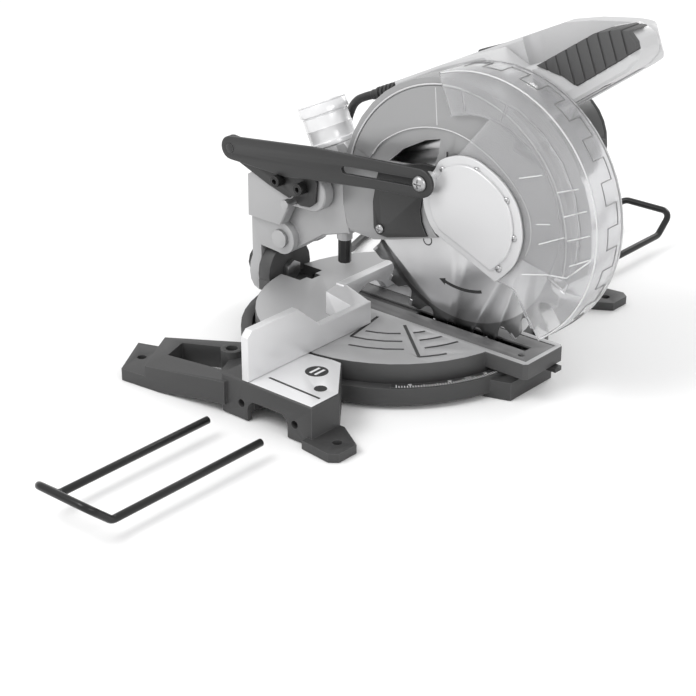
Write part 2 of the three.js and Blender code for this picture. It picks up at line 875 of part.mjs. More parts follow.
function tongueOutline(halfWidth, reach) {
  return [
    [-halfWidth, -turntableRadius * 0.8], [-halfWidth, -reach + cornerChamfer * 3],
    [-halfWidth + cornerChamfer * 3, -reach], [halfWidth - cornerChamfer * 3, -reach],
    [halfWidth, -reach + cornerChamfer * 3], [halfWidth, -turntableRadius * 0.8],
  ];
}

function turntable() {
  const bottom = floorTop + seatGap;
  const under = tableHeight - turntableTop;
  const lugFront = bevelLugRear - bevelLugDepth;
  const lugBottom = ringTop + runningGap;
  const lug = join(
    rod('y', bevelDiscRadius, lugFront, bevelLugRear, [0, tableHeight], 40),
    block([-bevelDiscRadius, bevelDiscRadius], [lugFront - turntableRim, bevelLugRear], [lugBottom,
      tableHeight - wingWall]),
  );
  const insertEdge = insertHalfWidth + seatGap;
  return cut(
    join(
      cut(
        join(rod('z', turntableRadius, bottom, tableHeight, [0, 0], 96),
          flatPlate(tongueOutline(tongueHalfWidth, tongueReach), [tongueBottom, tableHeight],
            cornerChamfer / 2)),
        cut(
          rod('z', turntableRadius - turntableRim, bottom - cutOver, under, [0, 0], 72),
          rod('z', pivotBossRadius, 0, tableHeight, [0, 0], 32),
        ),
        flatPlate(tongueOutline(tongueHalfWidth - tongueWall, tongueReach - tongueWall), [0, under]),
      ),
      cut(lug, block([-bevelDiscRadius * 2, bevelDiscRadius * 2], [lugFront - cutOver,
        bevelLugRear + cutOver],
        [0, lugBottom])),
    ),
    rod('z', pivotRadius + seatGap, 0, under, [0, 0], 24),
    block([-kerfLeft - wingWall, kerfRight + wingWall], [-insertFront + wingWall * 2,
      -pivotBossRadius - cornerChamfer],
      [bottom - cutOver, tableHeight]),
    block([-insertEdge, insertEdge], [-insertFront - seatGap, insertRear + seatGap],
      [tableHeight - insertThickness - seatGap, tableHeight + cutOver]),
    block([-chopBarrelRadius, chopBarrelRadius], [lugFront - turntableRim * 2.4, lugFront],
      [tableHeight - turntableTop * 1.6, tableHeight + cutOver]),
    rod('y', bevelBoltRadius + seatGap, lugFront - turntableRim * 3, bevelLugRear + cutOver, [0,
      tableHeight], 24),
    ...insertScrewPlaces().map(([x, y]) => rod('z', insertScrewRadius / 2 + seatGap,
      tableHeight - turntableTop / 1.3,
      tableHeight, [x, y], 12)),
    ...grooves(),
  );
}

function insertScrewPlaces() {
  const x = -(insertHalfWidth + kerfLeft) / 2;
  return [[x, insertRear - turntableRim], [x, -insertFront + turntableRim]];
}

function kerfInsert() {
  const top = tableHeight - seatGap;
  const bottom = tableHeight - insertThickness;
  const outline = [
    [-insertHalfWidth, -insertFront], [insertHalfWidth, -insertFront],
    [insertHalfWidth, insertRear], [-insertHalfWidth, insertRear],
  ];
  return cut(
    flatPlate(outline, [bottom, top]),
    block([-kerfLeft, kerfRight], [-insertFront + wingWall * 2.4, insertRear - wingWall * 1.2],
      [bottom - cutOver, top + cutOver]),
    ...insertScrewPlaces().map(([x, y]) => rod('z', insertScrewRadius + seatGap, bottom - cutOver,
      top + cutOver, [x, y], 16)),
  );
}

function insertScrew([x, y]) {
  const top = tableHeight - seatGap;
  return cut(
    join(
      rod('z', insertScrewRadius, tableHeight - insertThickness, top, [x, y], 16),
      rod('z', insertScrewRadius / 2, tableHeight - turntableTop / 1.4, top - insertThickness / 2, [x, y],
        12),
    ),
    block([x - insertScrewRadius, x + insertScrewRadius], [y - seatGap, y + seatGap],
      [top - insertThickness / 4, top + cutOver]),
  );
}

function mitrePointer() {
  const front = -tongueReach + tongueWall * 2;
  const top = tongueBottom - seatGap;
  const outline = [
    [-pointerWidth / 2, -ringRadius - cornerChamfer], [0, -ringRadius + ringWall / 3],
    [pointerWidth / 2, -ringRadius - cornerChamfer], [pointerWidth / 2, front], [-pointerWidth / 2, front],
  ];
  const plate = flatPlate(outline, [ringTop + scaleThickness, top]);
  const tab = block([-pointerWidth / 2, pointerWidth / 2], [front, front + pointerWidth / 3],
    [ringTop + scaleThickness, tableHeight - turntableTop - seatGap]);
  return join(plate, tab);
}

// Mitre lock: a short lever under the front of the tongue

function mitreLockLever() {
  const x = tongueHalfWidth - tongueWall - pointerWidth;
  const y = -tongueReach + tongueWall + pointerWidth;
  const top = tableHeight - turntableTop - seatGap;
  return join(
    rod('z', pointerWidth / 2, noseTop + runningGap, top, [x, y], 20),
    block([x - pointerWidth / 2, x + pointerWidth / 2], [-tongueReach - pointerWidth / 2, y],
      [noseTop + runningGap, tongueBottom - seatGap * 2]),
  );
}

// Rear bracket: a disc that tilts on the turntable's lug and two cheeks that carry the head's hinge pin

function cheek(x) {
  const discTo = discY + bevelDiscDepth;
  return sidePlate([
    [discTo, chopPivotZ + cheekRadius],
    ...arc(chopPivotY, chopPivotZ, cheekRadius, Math.PI / 2, Math.PI * 1.6, 12),
    [discY, cheekFoot], [discY, tableHeight], [discTo, tableHeight],
  ], x);
}

function bracketNose() {
  const discTo = discY + bevelDiscDepth;
  const radius = (noseHigh - noseLow) / 2;
  return sidePlate([
    [discTo, tableHeight + cheekRadius], [discTo, noseHigh - radius],
    [chopPivotY + cheekRadius / 2, noseHigh],
    ...arc(noseForward + radius, noseHigh - radius, radius, Math.PI / 2, Math.PI * 1.5, 14),
    [chopPivotY - cheekRadius, noseLow], [chopPivotY, chopPivotZ + cheekRadius / 2],
    [discY, cheekFoot + cheekRadius / 2],
  ], [-noseOuter, -cheekInner], cornerChamfer);
}

function bevelBracket() {
  const discTo = discY + bevelDiscDepth;
  const across = [-cheekOuter - cutOver, cheekOuter + cutOver];
  return cut(
    join(
      rod('y', bevelDiscRadius, discY, discTo, [0, tableHeight], 40),
      block([-cheekOuter, cheekOuter], [discY, discTo], [tableHeight, chopPivotZ + cheekRadius]),
      cheek([-cheekOuter, -cheekInner]),
      cheek([cheekInner, cheekOuter]),
      cut(bracketNose(), block([-noseOuter - cutOver, -cheekOuter], [noseForward, discTo + cutOver],
        [0, chopPivotZ + cheekRadius])),
    ),
    rod('x', chopPinRadius + seatGap, ...across, [chopPivotY, chopPivotZ], 24),
    rod('y', bevelBoltRadius + seatGap, discY - cutOver, discTo + cutOver, [0, tableHeight], 24),
    ...lobeScrews.map((place) => rod('x', lobeScrewRadius + seatGap, -noseOuter - cutOver,
      -cheekInner - cheekOuter / 8, place, 16)),
    rod('x', lockPinRadius + seatGap, -noseOuter - cutOver, -cheekInner + cutOver, lockPinPlace(), 16),
  );
}

function bevelBolt() {
  const from = bevelLugRear - bevelLugDepth - seatGap;
  const to = discY + bevelDiscDepth + leverHubLength + seatGap * 4;
  return join(
    rod('y', bevelBoltRadius, from - bevelBoltRadius / 2, to, [0, tableHeight], 24),
    rod('y', bevelBoltHead, from - bevelBoltRadius, from, [0, tableHeight], 6),
  );
}

function bevelLockLever() {
  const from = discY + bevelDiscDepth + seatGap;
  const to = from + leverHubLength;
  const middle = (from + to) / 2;
  return cut(
    join(
      rod('y', leverHubRadius, from, to, [0, tableHeight], 24),
      rod('z', leverRadius, tableHeight + leverHubRadius / 2, tableHeight + leverLength, [0, middle], 16,
        leverRadius * 1.4),
    ),
    rod('y', bevelBoltRadius + seatGap, from - cutOver, to + cutOver, [0, tableHeight], 24),
  );
}

function hingePin() {
  const headEnd = cheekOuter + seatGap;
  return join(
    rod('x', chopPinRadius, -headEnd - seatGap, cheekOuter + cornerChamfer, [chopPivotY, chopPivotZ], 24),
    rod('x', chopPinRadius * 1.6, -headEnd - lockPinRadius, -headEnd, [chopPivotY, chopPivotZ], 24),
  );
}

// Torsion spring round the hinge pin, between the arm's barrel and the right cheek
function returnSpring() {
  const radius = (chopPinRadius + springWire + seatGap) / Math.cos(Math.PI / springSteps);
  const from = barrelTo + seatGap * 2 + springWire;
  const points = [];
  for (let i = 0; i <= springTurns * springSteps; i += 1) {
    const angle = 2 * Math.PI * i / springSteps;
    points.push(new THREE.Vector3(
      from + springPitch * i / springSteps,
      chopPivotY + radius * Math.cos(angle),
      chopPivotZ + radius * Math.sin(angle),
    ));
  }
  return sweep(points, springWire, 5);
}

// Lock pin for carrying: it slides across the bracket's nose into a hole in the arm
function lockPinPlace() {
  return [(lobeScrews[0][0] + lobeScrews[1][0]) / 2, noseLow + lockPinKnob * 1.4];
}

function transportPin() {
  const knobTo = -noseOuter - seatGap - lockPinTravel;
  return join(
    rod('x', lockPinRadius, knobTo - lockPinKnobLength / 2, -cheekInner - seatGap, lockPinPlace(), 16),
    rod('x', lockPinKnob, knobTo - lockPinKnobLength, knobTo, lockPinPlace(), 20),
  );
}

// Guard link

const linkPlateFrontShares = [
  [1.1786, 0.0982], [1.125, 0.0357], [1.1429, -0.125], [1.1964, -0.1696], [1.2857, -0.1786],
  [1.6071, -0.0893],
];
const linkPlateTopShares = [
  [1.5893, 0.1786], [1.3571, 0.1786],
];

function linkPlate() {
  const x = [linkPlateX - linkPlateThickness, linkPlateX];
  const outline = [
    ...fromAxis(linkPlateFrontShares), [linkPivotY, linkPivotZ - linkRearRadius],
    ...arc(linkPivotY, linkPivotZ, linkRearRadius, -Math.PI / 3, Math.PI / 2, 8),
    ...fromAxis(linkPlateTopShares),
  ];
  return join(
    cut(
      sidePlate(outline, x, cornerChamfer / 2),
      ...lobeScrews.map((place) => rod('x', lobeScrewRadius + seatGap, x[0] - cutOver, x[1] + cutOver,
        place, 16)),
      rod('x', lockPinKnob + runningGap, x[0] - cutOver, x[1] + cutOver, lockPinPlace(), 20),
    ),
    rod('x', linkStudRadius, linkOuterX - seatGap, x[0] + linkPlateThickness / 2, [linkPivotY, linkPivotZ],
      20),
  );
}

function linkPlateScrew(place) {
  const seat = linkPlateX - linkPlateThickness - seatGap;
  const top = seat - lobeScrewHeadLength;
  return cut(
    join(
      rod('x', lobeScrewRadius, seat - lobeScrewHeadLength / 2, -cheekOuter, place, 16),
      rod('x', lobeScrewHead, top, seat, place, 24),
    ),
    rod('x', lobeScrewHead / 2, top - cutOver, seat - lobeScrewHeadLength / 2, place, 6),
  );
}

const barUnderShares = [
  [0.2679, 0.1607], [0.5804, 0.1339], [0.9286, 0.0893], [1.1518, 0.0625], [1.3929, 0.0268],
];
const barTopShares = [
  [1.5, 0.2679], [1.1429, 0.3125],
];

function slottedBar() {
  const x = [linkOuterX, linkInnerX];
  const tilt = Math.atan2(linkSlotRearZ - linkEndZ, linkSlotRearY - linkEndY);
  const outline = [
    ...arc(linkEndY, linkEndZ, linkEndRadius, Math.PI / 2 + tilt, Math.PI * 1.5 + tilt, 12),
    ...fromAxis(barUnderShares),
    ...arc(linkPivotY, linkPivotZ, linkRearRadius, -Math.PI / 2, Math.PI / 2, 10),
    ...fromAxis(barTopShares),
  ];
  const slot = [
    ...arc(linkSlotRearY, linkSlotRearZ, linkSlotHalf, -Math.PI / 2 + tilt, Math.PI / 2 + tilt, 8),
    ...arc(linkEndY, linkEndZ, linkSlotHalf, Math.PI / 2 + tilt, Math.PI * 1.5 + tilt, 8),
  ];
  return cut(
    sidePlate(outline, x, cornerChamfer / 2),
    sidePlate(slot, [x[0] - cutOver, x[1] + cutOver]),
    rod('x', linkStudRadius + seatGap, x[0] - cutOver, x[1] + cutOver, [linkPivotY, linkPivotZ], 20),
    ...lobeScrews.map((place) => rod('x', lobeScrewHead + runningGap, x[0] - cutOver, x[1] + cutOver,
      place, 24)),
  );
}

function guardLinkScrew() {
  const place = [linkEndY, linkEndZ];
  const seat = linkOuterX - seatGap;
  const top = seat - linkScrewHeadHeight;
  return cut(
    join(
      rod('x', linkScrewRadius, seat - linkScrewHeadHeight / 2, linkInnerX, place, 16),
      rod('x', linkScrewHead, top, seat, place, 24),
    ),
    rod('x', linkScrewHead / 2.2, top - cutOver, seat - linkScrewHeadHeight / 2, place, 6),
  );
}

// Head: arm and gear case in one casting

function caseOutline(grow) {
  const a = Math.atan2(motorZ - bladeZ, motorY - bladeY);
  const big = caseRadius + grow;
  const small = caseMotorRadius + grow;
  return [
    ...arc(bladeY, bladeZ, big, a + Math.PI / 2, a + Math.PI * 1.5, 16),
    ...arc(motorY, motorZ, small, a - Math.PI / 2, a + Math.PI / 2, 16),
  ];
}

function portAxis(solid) {
  return solid.rotate([-portLean, 0, 0]).translate([0, portY, portZ]);
}

const armShares = [
  [1.5179, -0.1429], [1.375, 0.1607], [0.9911, 0.3393], [0.7857, 0.1964], [0.7857, -0.2857],
  [0.7054, -0.3304], [0.9732, -0.3571], [1.1964, -0.4286],
];
const webShares = [
  [1, 0.3304], [0.3393, 0.4464], [0.0714, 0.3571], [0.0714, -0.25], [0.3393, -0.3214],
  [0.7054, -0.3571], [0.9732, -0.3571], [1.3214, -0.2857], [1.4286, -0.1071], [1.3571, 0.1607],
];

function armBody() {
  const outline = [
    [chopPivotY + chopBarrelRadius * 0.7, chopPivotZ + chopBarrelRadius * 0.7],
    ...fromAxis(armShares),
    [chopPivotY - chopBarrelRadius * 0.7, chopPivotZ - chopBarrelRadius * 0.7],
  ];
  const stopBoss = rod('z', stopKnobRadius + cornerChamfer, stopKnobTop + seatGap,
    stopKnobTop + stopKnobRadius * 2,
    [stopScrewX, stopScrewY], 20);
  return cut(
    join(sidePlate(outline, [-armHalfWidth, armHalfWidth], cornerChamfer), stopBoss),
    rod('x', guardRadius + seatGap, -armHalfWidth - cutOver, armHalfWidth + cutOver, [bladeY, bladeZ], 96),
  );
}

function armWeb() {
  return sidePlate(fromAxis(webShares), [webFrom, webTo]);
}

function headArm() {
  const barrelReach = cheekInner - runningGap;
  const cavity = join(
    rod('x', caseRadius - caseWall, caseFrom + caseWall, caseTo + cutOver, [bladeY, bladeZ], 56),
    rod('x', caseRadius / 3, caseFrom + caseWall, caseTo + cutOver, [motorY, motorZ], 40),
  );
  const collar = portAxis(rod('z', portCollar - runningGap, -portSkirt, -seatGap, [0, 0], 32));
  const buttonHole = lockButtonAxis(rod('z', lockButtonStem + seatGap, 0, caseRadius + cutOver, [0, 0], 16));
  const beside = cut(armWeb(), rod('x', portBore, webFrom - cutOver, webTo + cutOver, [chopPivotY,
    chopPivotZ], 32));
  return cut(
    join(
      rod('x', chopBarrelRadius, -barrelReach, barrelTo, [chopPivotY, chopPivotZ], 32),
      cut(armBody(), block([barrelTo, armHalfWidth + cutOver], [chopPivotY - chopBarrelRadius * 1.6,
        chopPivotY + chopBarrelRadius * 2], [0, chopPivotZ + chopBarrelRadius * 1.6])),
      cut(collar, rod('x', guardRadius + seatGap, -portRim, portRim, [bladeY, bladeZ], 96)),
      beside,
      sidePlate(caseOutline(0), [caseFrom, caseTo], cornerChamfer / 2),
      rod('x', neckRadius, webFrom, caseFrom + cornerChamfer, [bladeY, bladeZ], 48),
    ),
    cavity,
    rod('x', bearingRadius + seatGap, webFrom - cutOver, bearingTo + seatGap, [bladeY, bladeZ], 40),
    rod('x', chopPinRadius + seatGap, -barrelReach - cutOver, barrelTo + cutOver, [chopPivotY, chopPivotZ],
      24),
    portAxis(rod('z', portBore, -portSkirt * 2, cutOver, [0, 0], 32)),
    rod('x', lockPinRadius + seatGap, -armHalfWidth - cutOver, -armHalfWidth / 3, lockPinPlace(), 16),
    rod('z', stopScrewRadius + seatGap, stopKnobTop - cutOver, stopKnobTop + stopKnobRadius * 2 + cutOver,
      [stopScrewX, stopScrewY], 16),
    buttonHole,
  );
}

function spindleBearing() {
  return ring('x', bearingRadius, spindleRadius + seatGap, bearingFrom, bearingTo, [bladeY, bladeZ], 32);
}

function lockButtonAxis(solid) {
  return solid.rotate([-lockButtonTurn, 0, 0]).translate([(gearFrom + gearTo) / 2, bladeY, bladeZ]);
}

function spindleLockButton() {
  const from = caseRadius + runningGap * 2;
  return lockButtonAxis(join(
    rod('z', lockButtonRadius, from, from + lockButtonHeight, [0, 0], 24),
    rod('z', lockButtonStem, gearModule * gearTeeth / 2 + gearModule * 2, from + cornerChamfer, [0, 0], 16),
  ));
}

function depthStopScrew() {
  const place = [stopScrewX, stopScrewY];
  return join(
    rod('z', stopScrewRadius, stopKnobBottom + cornerChamfer, stopKnobTop + stopKnobRadius * 2, place, 16),
    rod('z', stopKnobRadius, stopKnobBottom, stopKnobTop, place, 8),
  );
}

function gearCover() {
  return cut(
    sidePlate(caseOutline(0), [caseTo + seatGap, caseTo + seatGap + coverThickness], cornerChamfer / 2),
    rod('x', motorShaftRadius + seatGap, caseTo - cutOver, motorFrom + cutOver, [motorY, motorZ], 24),
  );
}

// Fixed guard over the upper half of the blade

const hubShares = [
  [0.0982, -0.0982], [0.1607, -0.0179], [0.2054, 0.1071], [0.1875, 0.25], [0.1071, 0.3661],
  [0.0714, 0.4286], [-0.0714, 0.5], [-0.2143, 0.5089], [-0.3482, 0.4643], [-0.4821, 0.3839],
  [-0.5804, 0.2679], [-0.625, 0.1429], [-0.6339, 0.0179], [-0.5893, -0.1339], [-0.5179, -0.2321],
  [-0.4286, -0.3214],
];
const hubScrewShares = [
  [0.0357, 0.375], [-0.25, 0.4375], [-0.5, 0.2857], [-0.5714, 0.0357], [-0.4554, -0.2143],
];
const guardFootShares = [
  [0.933, -0.317], [0.7054, -0.3304], [0.5268, -0.2857], [0.1339, -0.1696], [0.0714, -0.1071],
  [0.0714, 0.4821], [0.4286, 0.5536], [0.875, 0.1964],
];
const guardWindowShares = [
  [0.5714, 0.2946], [0.3571, 0.3125], [0.1786, 0.3304], [0.1339, 0.4464], [0.125, 0.5536],
  [0.25, 0.5179], [0.4464, 0.4107],
];
const guardSideShares = [
  [0.6339, 0.2679], [0.6696, 0.1607], [0.7054, -0.0357], [0.6964, -0.2321], [0.6607, -0.2723],
  [0.5714, -0.2768], [0.1339, -0.1562], [0.0536, -0.0893], [0.0536, 0.3571], [0.25, 0.3571],
  [0.4286, 0.3036],
];
const clearFrontShares = [
  [-0.7232, -0.5893], [-0.5625, -0.3393],
];
const hubOutline = fromAxis(hubShares);

function hubShape(x, share, chamfer = 0) {
  const middle = (axis) => hubOutline.reduce((sum, p) => sum + p[axis] / hubOutline.length, 0);
  const centre = [middle(0), middle(1)];
  const points = hubOutline.map((p) => p.map((value, axis) => centre[axis] + (value - centre[axis]) * share));
  return sidePlate(points.reverse(), x, chamfer);
}

function upperGuard() {
  const left = [guardLeft, guardLeft + guardWall];
  const right = [guardRight - guardWall, guardRight];
  const wallLeft = cut(
    join(
      sector(guardEye, guardRadius, guardFrontAngle, guardRearAngle, left, 24),
      sidePlate(fromAxis(guardFootShares), left),
      hubShape(left, 1),
    ),
    rod('x', guardPivotBore, left[0] - cutOver, left[1] + cutOver, [bladeY, bladeZ], 40),
    sidePlate(fromAxis(guardWindowShares), [left[0] - cutOver, left[1] + cutOver]),
  );
  const pivot = cut(
    rod('x', guardPivotRadius, guardLeft - guardPivotLength, left[1], [bladeY, bladeZ], 40),
    rod('x', guardPivotBore, guardLeft - guardPivotLength - cutOver, left[1] + cutOver, [bladeY, bladeZ], 40),
  ).intersect(hubShape([guardLeft - guardPivotLength - cutOver, left[1] + cutOver], 0.97));
  const wallRight = cut(
    join(
      sector(guardEye / 2, guardRadius, guardFrontAngle, guardRearAngle, right, 24),
      rod('x', guardEye, right[0], right[1], [bladeY, bladeZ], 48),
    ),
    rod('x', bearingRadius, right[0] - cutOver, right[1] + cutOver, [bladeY, bladeZ], 32),
  );
  const rim = sector(guardRadius - guardWall, guardRadius, guardFrontAngle, guardRearAngle,
    [guardLeft, guardRight], 24);
  return cut(
    join(wallLeft, wallRight, rim, pivot),
    portAxis(rod('z', armHalfWidth - guardWall * 2, -portSkirt * 2.2, 0, [0, 0], 24)),
  );
}

function guardSidePlate() {
  const x = [guardLeft - seatGap - sidePlateThickness, guardLeft - seatGap];
  return cut(
    sidePlate(fromAxis(guardSideShares).reverse(), x, cornerChamfer / 2),
    rod('x', guardPivotRadius + runningGap, x[0] - cutOver, x[1] + cutOver, [bladeY, bladeZ], 40),
    rod('x', sidePlateScrewRadius / 2 + seatGap, x[0] - cutOver, x[1] + cutOver, sidePlateScrewPlace, 16),
  );
}

function sidePlateScrew() {
  const seat = guardLeft - sidePlateThickness - 2 * seatGap;
  return cut(
    join(
      rod('x', sidePlateScrewRadius / 2, seat - cornerChamfer, guardLeft - seatGap, sidePlateScrewPlace, 16),
      rod('x', sidePlateScrewRadius, seat - sidePlateThickness, seat, sidePlateScrewPlace, 20),
    ),
    rod('x', sidePlateScrewRadius / 2, seat - sidePlateThickness - cutOver, seat - sidePlateThickness / 2,
      sidePlateScrewPlace, 6),
  );
}

// Blade and what turns with it

// One tooth: shares of the pitch from its tip, and shares of the gullet's depth below the tip
const toothShares = [[0, 0], [0.06, 0.35], [0.16, 0.82], [0.34, 1], [0.5, 0.83], [0.66, 0.25]];

function sawBlade() {
  const pitch = 2 * Math.PI / bladeTeeth;
  const points = [];
  const profile = toothShares.map(([share, depthShare]) => [share, bladeRadius - depthShare * bladeGullet]);
  for (let i = 0; i < bladeTeeth; i += 1) {
    profile.forEach(([share, radius]) => {
      const angle = (i + share) * pitch;
      points.push([bladeY + radius * Math.cos(angle), bladeZ + radius * Math.sin(angle)]);
    });
  }
  const half = bladeThickness / 2;
  return cut(
    sidePlate(points, [-half, half]),
    rod('x', boreRadius, -half - cutOver, half + cutOver, [bladeY, bladeZ], 32),
  );
}

function spindle() {
  const seat = bladeThickness / 2 + seatGap;
  return cut(
    join(
      rod('x', boreRadius - seatGap, -bladeThickness / 2, seat, [bladeY, bladeZ], 32),
      rod('x', flangeRadius, seat, seat + flangeThickness, [bladeY, bladeZ], 32),
      rod('x', spindleRadius, seat, spindleEnd, [bladeY, bladeZ], 32),
    ),
    rod('x', arborBoltShank + seatGap, -bladeThickness, arborBoltLength, [bladeY, bladeZ], 24),
  );
}

function outerFlange() {
  const inner = -bladeThickness / 2 - seatGap;
  return ring('x', flangeRadius, arborBoltShank + seatGap, inner - flangeThickness, inner, [bladeY,
    bladeZ], 32);
}

function arborBolt() {
  const seat = -bladeThickness / 2 - 2 * seatGap - flangeThickness;
  return join(
    rod('x', arborBoltShank, seat - cornerChamfer, arborBoltLength - cutOver, [bladeY, bladeZ], 20),
    rod('x', arborBoltHead, seat - arborBoltHeadHeight, seat, [bladeY, bladeZ], 6),
  );
}

function gearWheel(teeth, centre, turn, x) {
  const pitchRadius = gearModule * teeth / 2;
  const tip = pitchRadius + gearModule * 0.85;
  const root = pitchRadius - gearModule * 1.2;
  const points = [];
  const profile = [[-0.25, root], [0, tip], [0.25, root]];
  for (let i = 0; i < teeth; i += 1) {
    profile.forEach(([share, radius]) => {
      const angle = turn + 2 * Math.PI * (i + share) / teeth;
      points.push([centre[0] + radius * Math.cos(angle), centre[1] + radius * Math.sin(angle)]);
    });
  }
  return sidePlate(points, x);
}

function spindleGear() {
  const towards = Math.atan2(motorZ - bladeZ, motorY - bladeY);
  return cut(
    gearWheel(gearTeeth, [bladeY, bladeZ], towards, [gearFrom, gearTo]),
    rod('x', spindleRadius + seatGap, gearFrom - cutOver, gearTo + cutOver, [bladeY, bladeZ], 32),
  );
}

function armature() {
  const towards = Math.atan2(bladeZ - motorZ, bladeY - motorY);
  const half = Math.PI / pinionTeeth;
  const end = motorTo + endCapLength / 3;
  return join(
    rod('x', motorShaftRadius, gearFrom, end, [motorY, motorZ], 24),
    gearWheel(pinionTeeth, [motorY, motorZ], towards + half, [gearFrom, gearTo]),
    rod('x', armatureRadius, statorFrom, statorTo, [motorY, motorZ], 32),
    rod('x', commutatorRadius, statorTo + cutOver, motorTo - cutOver, [motorY, motorZ], 24),
  );
}

// Clear guard and the plate that caps its hub

function clearSector(inner, outer, from, to, x, steps) {
  return sector(inner, outer, from, to, x, steps, clearForward, clearUp);
}

function clearGuard() {
  const near = [clearNear, clearNear + clearWall];
  const far = [clearFar - clearWall, clearFar];
  const rim = clearSector(clearRadius - clearWall, clearRadius, clearFrontAngle, clearRearAngle,
    [clearNear, clearFar], 26);
  const band = clearSector(clearBandInner, clearRadius, clearFrontAngle, clearRearAngle, near, 26);
  const middle = sidePlate([
    ...headArc(clearBandInner + 1, clearFrontAngle, clearRearAngle * 0.75, 12, clearForward,
      clearUp).reverse(),
    ...fromAxis(clearFrontShares), hubOutline[hubOutline.length - 1], ...hubOutline.slice(0, 7),
  ].reverse(), near);
  const farWall = cut(
    clearSector(clearFarEye / 2, clearRadius, clearFrontAngle, clearRearAngle, far, 26),
    rod('x', clearFarEye, far[0] - cutOver, far[1] + cutOver, [bladeY, bladeZ], 48),
  );
  const ribs = [];
  const raised = [clearNear - clearRibHeight, clearNear + cornerChamfer / 2];
  [clearBandInner + clearRibWidth, clearRibOuter].forEach((radius) => {
    ribs.push(clearSector(radius, radius + clearRibWidth, clearFrontAngle * 0.5, clearRearAngle * 0.9,
      raised, 8));
  });
  for (let i = 0; i < clearRibCount; i += 1) {
    const angle = clearFrontAngle * 0.5 + (clearRearAngle * 0.9 - clearFrontAngle * 0.5) * i / (clearRibCount - 1);
    const spread = clearRibWidth / clearRibOuter / 2;
    ribs.push(clearSector(clearBandInner + clearRibWidth, clearRibOuter + clearRibWidth, angle - spread,
      angle + spread, raised, 1));
  }
  return cut(
    join(rim, band, middle, farWall, ...ribs),
    rod('x', guardPivotRadius + runningGap, near[0] - cutOver, near[1] + cutOver, [bladeY, bladeZ], 48),
  );
}

function hubPlate() {
  const top = hubPlateX - hubThickness;
  const screws = fromAxis(hubScrewShares).map((place) => (
    rod('x', hubScrewRadius, top - hubScrewHeight, top + cornerChamfer / 2, place, 16)));
  const collar = rod('x', hubCollarRadius, linkInnerX + seatGap, top + cornerChamfer, [linkEndY - 1,
    linkEndZ], 20);
  return join(
    hubShape([top, hubPlateX], 1, cornerChamfer / 2),
    hubShape([top - hubBossHeight, top + cornerChamfer / 2], hubBossShare, cornerChamfer / 2),
    collar,
    ...screws,
  );
}

// Motor

function motorHousing() {
  const caps = [-1, 1].map((side) => rod('y', brushCapRadius + seatGap, 0, motorRadius * 1.2,
    [brushCapX, 0], 24).rotate([side > 0 ? 0 : 180, 0, 0]).translate([0, motorY, motorZ]));
  return cut(
    ring('x', motorRadius, motorRadius - motorWall, motorFrom, motorTo, [motorY, motorZ], 56),
    ...caps,
  );
}

function motorEndCap() {
  const from = motorTo + seatGap;
  const shape = join(
    rod('x', motorRadius, from, from + endCapLength / 2, [motorY, motorZ], 56),
    rod('x', motorRadius, from + endCapLength / 2, from + endCapLength, [motorY, motorZ], 56,
      motorRadius - motorWall),
    rod('x', endCapBoss, from + endCapLength / 2, from + endCapLength * 1.3, [motorY, motorZ], 32),
  );
  const slots = [];
  for (let i = 0; i < ventCount; i += 1) {
    slots.push(block([from - cutOver, from + endCapLength + cutOver], [endCapBoss * 1.5,
      motorRadius - motorWall * 2],
      [-ventWidth / 2, ventWidth / 2]).rotate([360 * i / ventCount, 0, 0]).translate([0, motorY, motorZ]));
  }
  return cut(
    shape,
    ...slots,
    rod('x', motorShaftRadius + seatGap, from - cutOver, from + endCapLength / 2, [motorY, motorZ], 24),
  );
}

function stator() {
  const outer = motorRadius - motorWall - seatGap;
  return ring('x', outer, outer - statorWall, statorFrom, statorTo, [motorY, motorZ], 40);
}

function brushCap(side) {
  const from = motorRadius - motorWall;
  return cut(
    rod('y', brushCapRadius, from, motorRadius + brushCapReach, [brushCapX, 0], 24),
    block([brushCapX - brushCapRadius / 2, brushCapX + brushCapRadius / 2], [motorRadius + brushCapReach / 2,
      motorRadius + brushCapReach * 2], [-cornerChamfer / 2, cornerChamfer / 2]),
  ).rotate([side > 0 ? 0 : 180, 0, 0]).translate([0, motorY, motorZ]);
}

// Handle: drawn with y pointing back along the slope and z square to it

function onHandle(solid) {
  return solid.rotate([-handleSlope, 0, 0]).translate([0, handleOriginY, handleOriginZ]);
}

const handleRearShares = [
  [-0.0331, 0.0041], [-0.0331, -0.1074],
];
const handleUnderShares = [
  [-0.9669, -0.0207], [-0.9876, -0.0455], [-0.9917, -0.0744], [-0.9752, -0.1033], [-0.9339, -0.1281],
  [-0.7355, -0.1777],
  [-0.6198, -0.2066], [-0.4132, -0.2479],
];
const nearTopShares = [
  [-0.2479, 0.0207], [-0.4298, 0.0207], [-0.5041, -0.0537], [-0.6198, -0.0496], [-0.8554, 0.0041],
  [-0.9421, 0],
];
const farTopShares = [
  [-0.2479, 0.0207], [-0.4463, 0.0331], [-0.6198, 0.0455], [-0.7273, 0.031], [-0.876, -0.0041],
];

function handleProfile(topShares) {
  return alongHandle([handleRearShares[0], ...topShares, ...handleUnderShares, handleRearShares[1]]);
}

